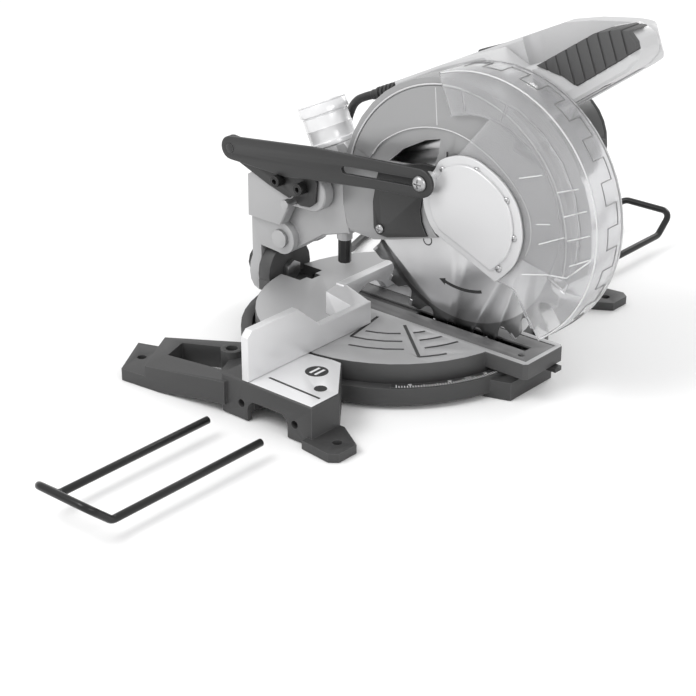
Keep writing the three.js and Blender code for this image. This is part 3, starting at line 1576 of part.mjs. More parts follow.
function handleCavity() {
  return join(
    block([handleInner + shellWall, handleOuter - shellWall], [-cavityTo, -cavityFrom], [cavityBottom,
      cavityTop]),
    block([handleInner + shellWall * 1.5, loopInner - shellWall], [-triggerTo - shellWall,
      -cavityTo + cutOver],
      [switchBottom - seatGap, switchTop + seatGap]),
    block([triggerInner - seatGap, triggerOuter + seatGap], [-triggerTo - triggerSwing,
      -triggerFrom + seatGap],
      [-handleTip / 4, switchTop]),
    rod('y', reliefEnd + cornerChamfer, -cavityFrom - cutOver, 0, [reliefX, reliefT], 24),
    block([buttonInner - seatGap, buttonOuter + seatGap], [-buttonTo - seatGap, -buttonFrom + seatGap],
      [cavityTop - cutOver, buttonTop + cutOver]),
  );
}

function handleShell(x, top) {
  const plan = [
    [handleInner, -handleRear], [handleInner, -handleTip + tipCorner],
    ...arc(handleInner + tipCorner, -handleTip + tipCorner, tipCorner, Math.PI, Math.PI * 1.5, 4),
    ...arc(handleOuter - tipFarCorner, -handleTip + tipFarCorner, tipFarCorner, Math.PI * 1.5, Math.PI * 2,
      8),
    [handleOuter, -loopFrom], [handleOuter - tipCorner, -handleRear],
  ];
  const loop = [
    ...arc(loopInner + loopCorner, -loopTo + loopCorner, loopCorner, Math.PI, Math.PI * 1.5, 5),
    ...arc(loopOuter - loopCorner, -loopTo + loopCorner, loopCorner, Math.PI * 1.5, Math.PI * 2, 5),
    ...arc(loopOuter - loopCorner, -loopFrom - loopCorner, loopCorner, 0, Math.PI / 2, 5),
    ...arc(loopInner + loopCorner, -loopFrom - loopCorner, loopCorner, Math.PI / 2, Math.PI, 5),
  ];
  const height = [-handleTip / 2, handleTip / 2];
  return cut(
    onHandle(cut(
      sidePlate(handleProfile(top), x, cornerChamfer * 2).intersect(flatPlate(plan, height)),
      flatPlate(loop, height),
      handleCavity(),
    )),
    sidePlate(caseOutline(seatGap), [handleInner - cutOver, motorFrom + seatGap]),
    rod('x', motorRadius + seatGap, caseTo, handleOuter + cutOver, [motorY, motorZ], 56),
    rod('x', guardRadius + seatGap, -cutOver, handleInner, [bladeY, bladeZ], 96),
  );
}

const gripRimShares = [
  [-0.6198, -0.0496], [-0.8554, 0.0041], [-0.9421, 0], [-0.9752, -0.0124], [-0.9917, -0.0496],
  [-0.9876, -0.0702], [-0.9174, -0.0909], [-0.7438, -0.1364], [-0.7107, -0.1033],
];
const gripCoreShares = [
  [-1.1, -0.0041], [-0.9463, 0], [-0.8554, 0.0041], [-0.6198, -0.0496], [-0.4876, -0.0579],
];
const gripGrowShares = [[2, 0], [0, 1], [0, 1], [-1, 1], [-1, 0], [-1, -1], [0, -1.3], [0, -1.3], [1.5, -1]];

// The grip covers the top and the left side of the near bar; grow gives the room cut for it in the shell
function softGrip(grow = 0) {
  const rim = alongHandle(gripRimShares).map(([y, z], i) => (
    [y + gripGrowShares[i][0] * grow, z + gripGrowShares[i][1] * grow]));
  const core = [
    ...alongHandle(gripCoreShares).map(([y, z]) => [y, z - gripThickness - grow]),
    [-loopFrom, -handleTip / 4 - grow], [-handleTip * 1.1, -handleTip / 4 - grow],
  ];
  return sidePlate(rim, [handleInner - gripGroove - grow, loopInner - gripThickness + grow])
    .subtract(sidePlate(core.reverse(), [handleInner + gripThickness + grow, loopOuter]));
}

function ribbedGrip() {
  const grip = softGrip();
  const skin = softGrip(cornerChamfer).subtract(grip.translate([gripGroove, 0, -gripGroove]));
  const grooveTools = [];
  for (let i = 1; i < gripRibs; i += 1) {
    const at = -gripFrom - (handleTip - gripFrom) * i / gripRibs;
    const slab = block([0, loopInner * 2], [at, at + gripGrooveWidth], [-handleTip / 4, handleTip / 4]);
    grooveTools.push(skin.intersect(slab));
  }
  return onHandle(cut(grip, ...grooveTools));
}

function switchBlock() {
  return onHandle(block([triggerInner, triggerOuter], [-switchTo, -switchFrom], [switchBottom, switchTop]));
}

function trigger() {
  const x = [triggerInner, triggerOuter];
  const top = switchBottom + shellWall;
  return onHandle(sidePlate([
    [-triggerFrom - seatGap, top], [-triggerTo + seatGap, top], [-triggerTo + seatGap,
      -triggerDrop + shellWall],
    [-(triggerFrom + triggerTo) / 2, -triggerDrop + shellWall / 2], [-triggerFrom - seatGap,
      -triggerDrop - shellWall],
  ], x, cornerChamfer));
}

function lockOffButton() {
  const y = [-buttonTo, -buttonFrom];
  const radius = (buttonOuter - buttonInner) / 2;
  const middle = (buttonInner + buttonOuter) / 2;
  const outline = [
    ...arc(middle, y[1] - radius, radius, 0, Math.PI, 10), ...arc(middle, y[0] + radius, radius, Math.PI,
      2 * Math.PI, 10),
  ];
  return onHandle(flatPlate(outline, [cavityTop, buttonTop], cornerChamfer));
}

// Dust port

function dustPort() {
  return portAxis(cut(
    join(
      rod('z', portRadius - cornerChamfer, seatGap, portLength - portRimLength, [0, 0], 40, portRadius),
      rod('z', portRim, portLength - portRimLength, portLength, [0, 0], 40),
      rod('z', portCollar, seatGap, shellWall, [0, 0], 40),
    ),
    rod('z', portBore, -cutOver, portLength + cutOver, [0, 0], 40),
    ring('z', portRim + cutOver, portRim - cornerChamfer, portLength - portRimLength,
      portLength - portRimLength
      + cornerChamfer, [0, 0], 40),
  ));
}

// Mains lead: strain relief, the free run down behind the saw, the coil of the rest and the plug

function strainRelief() {
  const to = -handleRear + reliefLength;
  const ribs = [];
  for (let i = 0; i < reliefRibs; i += 1) {
    const at = -handleRear + reliefRadius + (reliefLength - reliefRadius * 2) * i / reliefRibs;
    ribs.push(rod('y', reliefRadius + cornerChamfer * (1 - i / reliefRibs), at, at + cordRadius, [reliefX,
      reliefT], 20));
  }
  return onHandle(join(
    rod('y', reliefEnd, -handleRear - shellWall * 3, to, [reliefX, reliefT], 20),
    rod('y', reliefRadius, -handleRear + seatGap, to - reliefRadius, [reliefX, reliefT], 20, reliefEnd),
    ...ribs,
  ));
}

function reliefFace() {
  const angle = THREE.MathUtils.degToRad(handleSlope);
  const y = -handleRear + reliefLength + seatGap;
  return {
    point: new THREE.Vector3(reliefX, handleOriginY + y * Math.cos(angle) + reliefT * Math.sin(angle),
      handleOriginZ - y * Math.sin(angle) + reliefT * Math.cos(angle)),
    along: new THREE.Vector3(0, Math.cos(angle), -Math.sin(angle)),
  };
}

const cordWay = [
  [28.5, 66, 184.5], [32.5, 76, 172], [36.5, 83.5, 155], [40, 89, 135], [44, 94, 114], [50, 99, 93],
  [58, 105, 72], [68, 112.5, 52], [80, 121.5, 34], [95, 132, 19], [112, 143.5, 9.2], [131, 154, 4.9],
  [152, 161.5, 4], [174, 164.6, 4], [196, 164.6, 4], [216, 163.9, 4],
];

function coilPoint(turn) {
  const outer = coilMiddleRadius + coilPitch * coilTurns / 2;
  const radius = outer - coilPitch * Math.min(turn, 2 * coilTurns - turn);
  const climb = Math.min(1, Math.max(0, (turn - coilTurns) * 2 + 0.5));
  const angle = Math.PI / 2 - 2 * Math.PI * turn;
  return new THREE.Vector3(coilX + radius * Math.cos(angle), coilY + radius * Math.sin(angle),
    coilLow + coilPitch * climb);
}

const coilStart = coilPoint(0);

function cordPath() {
  const { point, along } = reliefFace();
  const end = coilStart.clone().add(new THREE.Vector3(-cordRadius * 4 - seatGap, 0, 0));
  return [
    point, point.clone().addScaledVector(along, cordRadius * 2),
    ...cordWay.map((p) => new THREE.Vector3(...p)), end,
    end.clone().add(new THREE.Vector3(cordRadius * 2, 0, 0)),
  ];
}

function cord() {
  const curve = new THREE.CatmullRomCurve3(cordPath(), false, 'centripetal');
  return sweep(curve.getSpacedPoints(28), cordRadius, cordSides);
}

function coilPath() {
  const points = [coilStart.clone().add(new THREE.Vector3(-cordRadius * 2, 0, 0))];
  const steps = coilSteps * coilTurns * 2;
  for (let i = 0; i <= steps; i += 1) {
    points.push(coilPoint(i / coilSteps));
  }
  const last = points[points.length - 1];
  points.push(last.clone().add(new THREE.Vector3(cordRadius * 4, 0, 0)));
  points.push(last.clone().add(new THREE.Vector3(cordRadius * 8, 0, 0)));
  return points;
}

function cordCoil() {
  return sweep(coilPath(), cordRadius, coilSides);
}

function plug() {
  const points = coilPath();
  const end = points[points.length - 1];
  const from = end.x + seatGap;
  const place = [end.y, end.z];
  return join(
    rod('x', cordRadius + cornerChamfer, from, from + plugLength / 2, place, 20, plugRadius * 0.6),
    rod('x', plugRadius * 0.72, from + plugLength / 3, from + plugLength, place, 24),
    ...[-1, 1].map((side) => rod('x', plugPinRadius, from + plugLength - cutOver,
      from + plugLength + plugPinLength,
      [place[0] + side * plugPinSpread * 0.7, place[1]], 12)),
  );
}

// The least room between two turns of the coil, from the points that it is swept along
function coilRoom() {
  const points = coilPath();
  let least = Infinity;
  points.forEach((p, i) => points.forEach((q, j) => {
    if (Math.abs(i - j) > coilSteps / 2) {
      least = Math.min(least, p.distanceTo(q) - 2 * cordRadius);
    }
  }));
  return least;
}

console.log('least gap between turns of the coil, mm:', coilRoom().toFixed(2));

// Everything in its place

add('base_frame', baseFrame(), finish.casting);
add('mitre_scale', mitreScale(), finish.dark);
add('fence', fence(), finish.machined);
add('fence_screw_left', fenceScrew(-1), finish.black);
add('fence_screw_right', fenceScrew(1), finish.black);
add('pivot_bolt', pivotBolt(), finish.steel);
add('left_extension_bar', extensionBar(-baseHalfWidth - barDrawnOut, -1), finish.black);
add('right_extension_bar', extensionBar(baseHalfWidth - barSeated, 1), finish.black);
add('left_lock_screw', lockScrew(-1), finish.black);
add('right_lock_screw', lockScrew(1), finish.black);
add('turntable', turntable(), finish.silver);
add('kerf_insert', kerfInsert(), finish.dark);
add('insert_screw_front', insertScrew(insertScrewPlaces()[1]), finish.steel);
add('insert_screw_rear', insertScrew(insertScrewPlaces()[0]), finish.steel);
add('mitre_pointer', mitrePointer(), finish.steel);
add('mitre_lock_lever', mitreLockLever(), finish.black);
add('bevel_bolt', bevelBolt(), finish.steel);
add('bevel_bracket', bevelBracket(), finish.silver);
add('bevel_lock_lever', bevelLockLever(), finish.black);
add('hinge_pin', hingePin(), finish.steel);
add('return_spring', returnSpring(), finish.steel);
add('transport_pin', transportPin(), finish.black);
add('link_plate', linkPlate(), finish.dark);
add('link_plate_screw_front', linkPlateScrew(lobeScrews[1]), finish.black);
add('link_plate_screw_rear', linkPlateScrew(lobeScrews[0]), finish.black);
add('slotted_bar', slottedBar(), finish.dark);
add('guard_link_screw', guardLinkScrew(), finish.black);
add('head_arm', headArm(), finish.silver);
add('upper_guard', upperGuard(), finish.silver);
add('side_plate', guardSidePlate(), finish.dark);
add('side_plate_screw', sidePlateScrew(), finish.black);
add('spindle_bearing', spindleBearing(), finish.steel);
add('spindle_lock_button', spindleLockButton(), finish.black);
add('depth_stop_screw', depthStopScrew(), finish.black);
add('gear_cover', gearCover(), finish.dark);
add('saw_blade', sawBlade(), finish.steel);
add('spindle', spindle(), finish.steel);
add('outer_flange', outerFlange(), finish.steel);
add('arbor_bolt', arborBolt(), finish.black);
add('spindle_gear', spindleGear(), finish.steel);
add('armature', armature(), finish.steel);
add('clear_guard', clearGuard(), finish.clear);
add('hub_plate', hubPlate(), finish.silver);
add('motor_housing', motorHousing(), finish.black);
add('motor_end_cap', motorEndCap(), finish.black);
add('stator', stator(), finish.copper);
add('brush_cap_rear', brushCap(1), finish.black);
add('brush_cap_front', brushCap(-1), finish.black);
add('handle_left_shell', mainBody(handleShell([handleInner, handleSplit - seatGap / 2], nearTopShares)
  .subtract(onHandle(softGrip(seatGap)))), finish.shell);
add('handle_right_shell', handleShell([handleSplit + seatGap / 2, handleOuter], farTopShares), finish.shell);
add('soft_grip', mainBody(ribbedGrip()), finish.grip);
add('switch_block', switchBlock(), finish.black);
add('trigger', trigger(), finish.black);
add('lock_off_button', lockOffButton(), finish.black);
add('dust_port', dustPort(), finish.silver);
add('strain_relief', strainRelief(), finish.black);
add('cord', cord(), finish.black);
add('cord_coil', cordCoil(), finish.black);
add('plug', plug(), finish.black);

// The object's own frame: the middle of its footprint on the floor
const footprint = new THREE.Box3();
saw.children.filter((mesh) => !['cord', 'cord_coil', 'plug'].includes(mesh.name))
  .forEach((mesh) => footprint.expandByObject(mesh));
const middle = footprint.getCenter(new THREE.Vector3());
saw.position.set(-middle.x, -middle.y, -footprint.min.z);

export default saw;
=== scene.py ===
# %% [markdown]
# # Dressing a bench mitre saw
#
# The solids of this saw come from a CAD frame: every plate, screw and lever already has its place and its real
# size. This lesson gives them their looks in Blender. Each step says what a piece is on the real saw, how it could
# be made, and why the way used here was picked. Lengths are written in millimetres and turned into metres.

# %% Load the frame
import json
import math
import bpy
from mathutils import Matrix, Vector
from mathutils.geometry import interpolate_bezier


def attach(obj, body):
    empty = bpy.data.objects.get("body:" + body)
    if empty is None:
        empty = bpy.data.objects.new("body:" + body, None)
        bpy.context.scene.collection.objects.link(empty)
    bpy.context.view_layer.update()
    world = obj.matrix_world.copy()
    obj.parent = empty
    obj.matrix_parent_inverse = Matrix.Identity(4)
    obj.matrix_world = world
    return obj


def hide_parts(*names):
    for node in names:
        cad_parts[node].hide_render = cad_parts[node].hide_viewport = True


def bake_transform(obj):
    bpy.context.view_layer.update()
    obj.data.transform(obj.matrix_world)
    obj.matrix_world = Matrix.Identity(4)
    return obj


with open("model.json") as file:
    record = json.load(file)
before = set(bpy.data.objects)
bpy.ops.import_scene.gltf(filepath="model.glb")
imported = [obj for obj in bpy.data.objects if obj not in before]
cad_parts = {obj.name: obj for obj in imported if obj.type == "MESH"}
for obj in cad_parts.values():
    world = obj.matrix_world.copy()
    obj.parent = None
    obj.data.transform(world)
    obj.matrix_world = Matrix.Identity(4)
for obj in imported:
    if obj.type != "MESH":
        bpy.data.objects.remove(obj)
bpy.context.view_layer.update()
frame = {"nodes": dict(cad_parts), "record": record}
scene = bpy.context.scene
scene.view_settings.view_transform = "Standard"
body_of_node = {name: body for body, names in frame["record"]["behaviour"]["bodies"].items() for name in names}
slot_of_node = {part["node"]: part["material_slot"] for part in frame["record"]["subparts"]}

# %% [markdown]
# The saw was drawn with the turntable's axis at zero, and the frame's origin is the middle of its footprint. One
# helper turns a drawn place into a place in the frame, so every measure below can be read off the drawing.

# %% From the drawing to the frame
SHIFT_X, SHIFT_Y = 27.5, 22.883
MM = 0.001


def at(x, y, z):
    return Vector(((x + SHIFT_X) * MM, (y + SHIFT_Y) * MM, z * MM))


def turn(degrees):
    return math.radians(degrees)


print("turntable axis:", [round(v, 4) for v in at(0, 0, 0)])

# %% [markdown]
# ## Camera
#
# The picture looks at the saw's left front corner from a little above, through a long lens. The viewing angle could
# be tried by eye, but it was worked out from the round ring, the fence and the bars, so the numbers are just used.

# %% Camera
view = bpy.data.cameras.new("camera")
view.lens = 97.5
view.sensor_width = 36
view.clip_start = 0.05
camera = bpy.data.objects.new("camera", view)
scene.collection.objects.link(camera)
camera.location = at(-1091.3, -890.1, 656.2)
camera.rotation_euler = (turn(90 - 25.22), 0, turn(-49.24))
scene.camera = camera
print("camera:", [round(v, 3) for v in camera.location])

# %% [markdown]
# ## Helpers for modelling
#
# A few small helpers keep each piece short. Everything is deselected before a primitive is added, because an
# operator acts on all that is selected. A plate starts as a filled circle whose points are set on its outline, and a
# turned piece starts as an open ring of points that is its profile, spun round its own line.

# %% Start, outline and thickness


def fresh():
    if bpy.context.object and bpy.context.object.mode != "OBJECT":
        bpy.ops.object.mode_set(mode="OBJECT")
    bpy.ops.object.select_all(action="DESELECT")


def only(piece):
    fresh()
    piece.select_set(True)
    bpy.context.view_layer.objects.active = piece


def edit(piece):
    only(piece)
    bpy.ops.object.mode_set(mode="EDIT")
    bpy.ops.mesh.select_all(action="SELECT")


def done():
    bpy.ops.object.mode_set(mode="OBJECT")


def outline(name, places, fill="NGON"):
    fresh()
    bpy.ops.mesh.primitive_circle_add(vertices=len(places), radius=0.01, fill_type=fill)
    piece = bpy.context.object
    piece.name = name
    for corner, place in zip(piece.data.vertices, places):
        corner.co = place
    return piece


def thicken(piece, way):
    edit(piece)
    bpy.ops.mesh.extrude_region_move(TRANSFORM_OT_translate={"value": way})
    bpy.ops.mesh.select_all(action="SELECT")
    bpy.ops.mesh.normals_make_consistent(inside=False)
    done()
    return piece


# %% [markdown]
# Real edges are never sharp: a small bevel catches the light. Smooth shading by angle then leaves flat faces flat.

# %% Bevel, smooth, cut and join


def soften(piece, width, segments=2, angle=32):
    only(piece)
    bevel = piece.modifiers.new("soft edges", "BEVEL")
    bevel.width = width * MM
    bevel.segments = segments
    bevel.limit_method = "ANGLE"
    bevel.angle_limit = turn(angle)
    bevel.harden_normals = False
    bpy.ops.object.modifier_apply(modifier=bevel.name)
    return piece


def smooth(piece, angle=32):
    only(piece)
    bpy.ops.object.shade_smooth_by_angle(angle=turn(angle))
    return piece


def carve(piece, *tools):
    for tool in tools:
        only(piece)
        cut = piece.modifiers.new("cut", "BOOLEAN")
        cut.operation = "DIFFERENCE"
        cut.solver = "EXACT"
        cut.object = tool
        bpy.ops.object.modifier_apply(modifier=cut.name)
        bpy.data.objects.remove(tool)
    return piece


def gather(name, *parts):
    fresh()
    for part in parts:
        part.select_set(True)
    bpy.context.view_layer.objects.active = parts[0]
    bpy.ops.object.join()
    parts[0].name = name
    return parts[0]


def bar(axis, radius, start, end, centre, points=48):
    """A round bar along X or Z; centre gives the two other coordinates."""
    fresh()
    middle = (start + end) / 2
    place, lean = {
        "x": ((middle, centre[0], centre[1]), (0, math.pi / 2, 0)),
        "z": ((centre[0], centre[1], middle), (0, 0, 0)),
    }[axis]
    bpy.ops.mesh.primitive_cylinder_add(vertices=points, radius=radius * MM, depth=abs(end - start) * MM,
                                        location=at(*place), rotation=lean)
    bpy.ops.object.transform_apply()
    return bpy.context.object


def slab(low, high):
    """A block between two corners, only ever a start or a cutter."""
    fresh()
    bpy.ops.mesh.primitive_cube_add(size=1, location=(at(*low) + at(*high)) / 2)
    block = bpy.context.object
    block.scale = [abs(b - a) * MM for a, b in zip(low, high)]
    bpy.ops.object.transform_apply()
    return block


def turned(name, profile, centre, axis, steps=64):
    """Spins a closed profile of (along, radius) pairs round the line through centre."""
    axis = Vector(axis).normalized()
    side = axis.orthogonal().normalized()
    middle = at(*centre)
    piece = outline(name, [middle + axis * along * MM + side * radius * MM for along, radius in profile], "NOTHING")
    edit(piece)
    bpy.ops.mesh.spin(steps=steps, angle=2 * math.pi, center=middle, axis=axis)
    bpy.ops.mesh.select_all(action="SELECT")
    bpy.ops.mesh.remove_doubles(threshold=1e-6)
    bpy.ops.mesh.delete_loose()
    bpy.ops.mesh.select_all(action="SELECT")
    bpy.ops.mesh.normals_make_consistent(inside=False)
    done()
    return piece


def repeated(piece, count, axis, centre, angle):
    """The piece and copies of it, each turned on by the same angle, joined into one."""
    parts = [piece]
    for step in range(1, count):
        only(piece)
        bpy.ops.object.duplicate()
        copy = bpy.context.object
        swing = Matrix.Rotation(angle * step, 4, Vector(axis))
        move = Matrix.Translation(at(*centre)) @ swing @ Matrix.Translation(-at(*centre))
        copy.data.transform(move)
        parts.append(copy)
    return gather(piece.name, *parts)


def wire(name, places, radius, rounds=12):
    """A round bar along a path, made as a curve with a thickness and turned into a mesh."""
    fresh()
    line = bpy.data.curves.new(name, "CURVE")
    line.dimensions = "3D"
    path = line.splines.new("POLY")
    path.points.add(len(places) - 1)
    for point, place in zip(path.points, places):
        point.co = (*place, 1)
    line.bevel_depth = radius * MM
    line.bevel_resolution = rounds // 4
    line.use_fill_caps = True
    piece = bpy.data.objects.new(name, line)
    scene.collection.objects.link(piece)
    only(piece)
    bpy.ops.object.convert(target="MESH")
    piece = bpy.context.object
    edit(piece)
    bpy.ops.mesh.remove_doubles(threshold=1e-6)
    bpy.ops.mesh.normals_make_consistent(inside=False)
    done()
    return piece


def finish(piece, look, slot, body, *nodes):
    """Gives a finished piece its material and its body, and hides the CAD nodes it stands for; the slot is not used.
    """
    piece.data.materials.clear()
    piece.data.materials.append(look)
    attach(piece, body)
    if nodes:
        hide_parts(*nodes)
    print(piece.name, len(piece.data.polygons), "faces")
    return piece


def stand_in(piece, look, *nodes):
    """A finished piece that is shown in the place of one or more CAD nodes, with the body of the first."""
    return finish(piece, look, slot_of_node[nodes[0]], body_of_node[nodes[0]], *nodes)


def detail(piece, look, slot, beside):
    """A small extra piece, such as a printed mark, that moves with the CAD node beside it."""
    return finish(piece, look, slot, body_of_node[beside])


# %% [markdown]
# ## Materials
#
# Surfaces of this saw share a few effects: a fine grain from moulding or casting, brushed lines, and worn edges.
# Each effect is a small node group that puts out only masks or heights, built once and used with its own values.

# %% Helpers for node trees


def put(node, sockets):
    """Sets the values of a node's input sockets."""
    for key, value in sockets.items():
        node.inputs[key].default_value = value
    return node


def wired(tree, kind, sockets=None, **settings):
    """A new node with its settings and the values of its input sockets."""
    node = tree.nodes.new(kind)
    for key, value in settings.items():
        setattr(node, key, value)
    return put(node, sockets or {})


def link(tree, *pairs):
    """Links pairs of an output and an input."""
    for giver, taker in pairs:
        tree.links.new(giver, taker)


def group_of(name, inputs, outputs):
    tree = bpy.data.node_groups.new(name, "ShaderNodeTree")
    for label, value in inputs:
        socket = tree.interface.new_socket(label, in_out="INPUT", socket_type="NodeSocketFloat")
        socket.default_value = value
    for label in outputs:
        tree.interface.new_socket(label, in_out="OUTPUT", socket_type="NodeSocketFloat")
    return tree, tree.nodes.new("NodeGroupInput"), tree.nodes.new("NodeGroupOutput")


# %% [markdown]
# Grain: a fine noise makes the small bumps of a textured coating, and a large soft noise gives the slow change of
# tone that every real surface has from handling and dust.

# %% Grain group
grain, taken, given = group_of("grain", [("Size", 900.0), ("Patches", 12.0)], ["Height", "Tone"])
place = wired(grain, "ShaderNodeTexCoord")
for size, detail_level, mask in (("Size", 3, "Height"), ("Patches", 4, "Tone")):
    noise = wired(grain, "ShaderNodeTexNoise", {"Detail": detail_level})
    link(grain, (place.outputs["Object"], noise.inputs["Vector"]), (taken.outputs[size], noise.inputs["Scale"]),
         (noise.outputs["Fac"], given.inputs[mask]))

# %% [markdown]
# Worn edges: where the shading normal of a softened edge leaves the true normal, there is an edge. Comparing the
# two gives a mask that works on any piece, with no painting.

# %% Edge group
edges, taken, given = group_of("worn edges", [("Sharpness", 6.0)], ["Edge"])
rounded = wired(edges, "ShaderNodeBevel", {"Radius": 0.9 * MM}, samples=4)
true = wired(edges, "ShaderNodeNewGeometry")
match = wired(edges, "ShaderNodeVectorMath", operation="DOT_PRODUCT")
away = wired(edges, "ShaderNodeMath", {0: 1.0}, operation="SUBTRACT")
strong = wired(edges, "ShaderNodeMath", operation="MULTIPLY", use_clamp=True)
link(edges, (rounded.outputs["Normal"], match.inputs[0]), (true.outputs["Normal"], match.inputs[1]),
     (match.outputs["Value"], away.inputs[1]), (away.outputs["Value"], strong.inputs[0]),
     (taken.outputs["Sharpness"], strong.inputs[1]), (strong.outputs["Value"], given.inputs["Edge"]))

# %% [markdown]
# Brushed lines: a noise that is stretched along one direction. The stretch is set per material by how much each
# axis is squeezed before the noise reads it.

# %% Brush group
brush, taken, given = group_of("brushed lines", [("Along X", 40.0), ("Along Y", 2500.0), ("Along Z", 2500.0)],
                               ["Lines"])
place = wired(brush, "ShaderNodeTexCoord")
squeeze = wired(brush, "ShaderNodeVectorMath", operation="MULTIPLY")
axes = wired(brush, "ShaderNodeCombineXYZ")
lines = wired(brush, "ShaderNodeTexNoise", {"Scale": 1.0, "Detail": 2})
link(brush, *((taken.outputs["Along " + letter], axes.inputs[letter]) for letter in "XYZ"))
link(brush, (place.outputs["Object"], squeeze.inputs[0]), (axes.outputs["Vector"], squeeze.inputs[1]),
     (squeeze.outputs["Vector"], lines.inputs["Vector"]), (lines.outputs["Fac"], given.inputs["Lines"]))
print("groups:", [g.name for g in bpy.data.node_groups])

# %% [markdown]
# Most finishes of the saw are a base colour that drifts a little, lighter or darker on worn edges, with a grain or
# brushed bump. One function builds them, so each finish below reads as a short list of what makes it different.

# %% A finish from its facts


def new_look(name):
    look = bpy.data.materials.new(name)
    look.use_nodes = True
    return look, look.node_tree, look.node_tree.nodes["Principled BSDF"]


def mixed(tree, share, low, high):
    """A colour between two others; low and high are fixed colours or the output of a node."""
    mix = wired(tree, "ShaderNodeMix", data_type="RGBA")
    tree.links.new(share, mix.inputs[0])
    for slot, colour in ((6, low), (7, high)):
        if isinstance(colour, tuple):
            mix.inputs[slot].default_value = (*colour, 1)
        else:
            tree.links.new(colour, mix.inputs[slot])
    return mix.outputs[2]


def surface(name, dark, light, rough, metal=0.0, edge=None, size=900.0, patches=12.0, bump=0.15, depth=0.0002,
            lines=None, coat=0.0, rough_drift=0.1, more=None):
    look, tree, shader = new_look(name)
    put(shader, {"Metallic": metal, "Coat Weight": coat, "Coat Roughness": 0.15, **(more or {})})
    spots = wired(tree, "ShaderNodeGroup", {"Size": size, "Patches": patches}, node_tree=grain)
    colour = mixed(tree, spots.outputs["Tone"], dark, light)
    if edge:
        worn = wired(tree, "ShaderNodeGroup", {"Sharpness": 6.0}, node_tree=edges)
        colour = mixed(tree, worn.outputs["Edge"], colour, edge)
    tone = wired(tree, "ShaderNodeMapRange", {"To Min": max(0.02, rough - rough_drift),
                                              "To Max": min(1.0, rough + rough_drift)})
    relief = wired(tree, "ShaderNodeBump", {"Strength": bump, "Distance": depth})
    height = spots.outputs["Height"]
    if lines:
        squeezed = {"Along " + letter: value for letter, value in zip("XYZ", lines)}
        strokes = wired(tree, "ShaderNodeGroup", squeezed, node_tree=brush)
        height = strokes.outputs["Lines"]
    link(tree, (colour, shader.inputs["Base Color"]), (spots.outputs["Tone"], tone.inputs["Value"]),
         (tone.outputs["Result"], shader.inputs["Roughness"]), (height, relief.inputs["Height"]),
         (relief.outputs["Normal"], shader.inputs["Normal"]))
    return look


def grey(value):
    return (value, value, value * 1.01)


# %% [markdown]
# The base and the turntable have a dark, slightly rough powder coat. The fence and the tops of the castings are bare
# aluminium with milling lines along them. The arm, its bracket and the fixed guard have a smooth silver paint, the
# covers a lighter satin one, and the screws are black oxide.

# %% Finishes of the saw
cast_coat = surface("dark powder coat", grey(0.046), grey(0.066), 0.5, 0.0, grey(0.10), size=1500, bump=0.35,
                    depth=0.0003)
base_coat = surface("dark base coat", grey(0.032), grey(0.046), 0.5, 0.0, grey(0.09), size=1500, bump=0.35,
                    depth=0.0003)
table_face = surface("turned table face", grey(0.42), grey(0.50), 0.42, 0.4, grey(0.6), bump=0.1,
                     lines=(1800, 60, 1800))
milled = surface("milled fence", grey(0.68), grey(0.76), 0.38, 0.5, grey(0.85), lines=(40, 2200, 2600), bump=0.15)
wing_face = surface("milled wing top", grey(0.80), grey(0.88), 0.36, 0.35, grey(0.9), lines=(40, 2200, 2600),
                    bump=0.12)
guard_paint = surface("guard paint", grey(0.30), grey(0.335), 0.4, 0.25, grey(0.5), size=2600, bump=0.06)
silver_paint = surface("silver paint", grey(0.38), grey(0.43), 0.4, 0.25, grey(0.58), size=2600, bump=0.06)
satin_cover = surface("satin cover", grey(0.60), grey(0.66), 0.36, 0.35, grey(0.75), size=2200, bump=0.08)
ground_steel = surface("ground steel", grey(0.42), grey(0.50), 0.3, 0.9, grey(0.6), lines=(2400, 2400, 60),
                       bump=0.12)
plain_steel = surface("plain steel", grey(0.36), grey(0.45), 0.32, 0.9, grey(0.6), size=1800, bump=0.08)
black_oxide = surface("black oxide screws", grey(0.018), grey(0.03), 0.34, 0.55, grey(0.12), size=1600, bump=0.1)
dark_plate = surface("dark plate", grey(0.022), grey(0.030), 0.42, 0.15, grey(0.13), size=2000, bump=0.12)
enamel = surface("black enamel", grey(0.006), grey(0.010), 0.3, 0.0, grey(0.02), size=700, bump=0.05, coat=0.1,
                 rough_drift=0.06, more={"Specular IOR Level": 0.3})
black_plastic = surface("black moulding", grey(0.018), grey(0.026), 0.45, 0.0, grey(0.05), size=2400, bump=0.2)
grey_plastic = surface("grey moulding", grey(0.50), grey(0.55), 0.42, 0.0, grey(0.6), size=2400, bump=0.16)
port_paint = surface("port moulding", grey(0.74), grey(0.82), 0.24, 0.15, grey(0.85), size=2200, bump=0.06,
                     coat=0.4)
grip_skin = surface("ribbed grip", grey(0.060), grey(0.080), 0.7, 0.0, grey(0.09), size=2800, bump=0.3)
sheath = surface("cable sheath", grey(0.016), grey(0.022), 0.5, 0.0, size=1800, bump=0.12)
# The kerf insert is a black moulding; its colour is set several times lighter, painted light that lifts it out of the
# shade it sits in.
kerf_insert_painted_light = surface("kerf insert painted light", grey(0.11), grey(0.14), 0.5, 0.0, grey(0.2), size=2600, bump=0.2)
copper = surface("lacquered winding", (0.36, 0.16, 0.07), (0.45, 0.2, 0.09), 0.35, 0.6, lines=(60, 2200, 2200))
paint_white = surface("printed marks", grey(0.72), grey(0.8), 0.5, 0.0, size=2600, bump=0.05)
paint_black = surface("black print", grey(0.012), grey(0.018), 0.5, 0.0, size=2600, bump=0.05)
print("finishes:", len(bpy.data.materials))
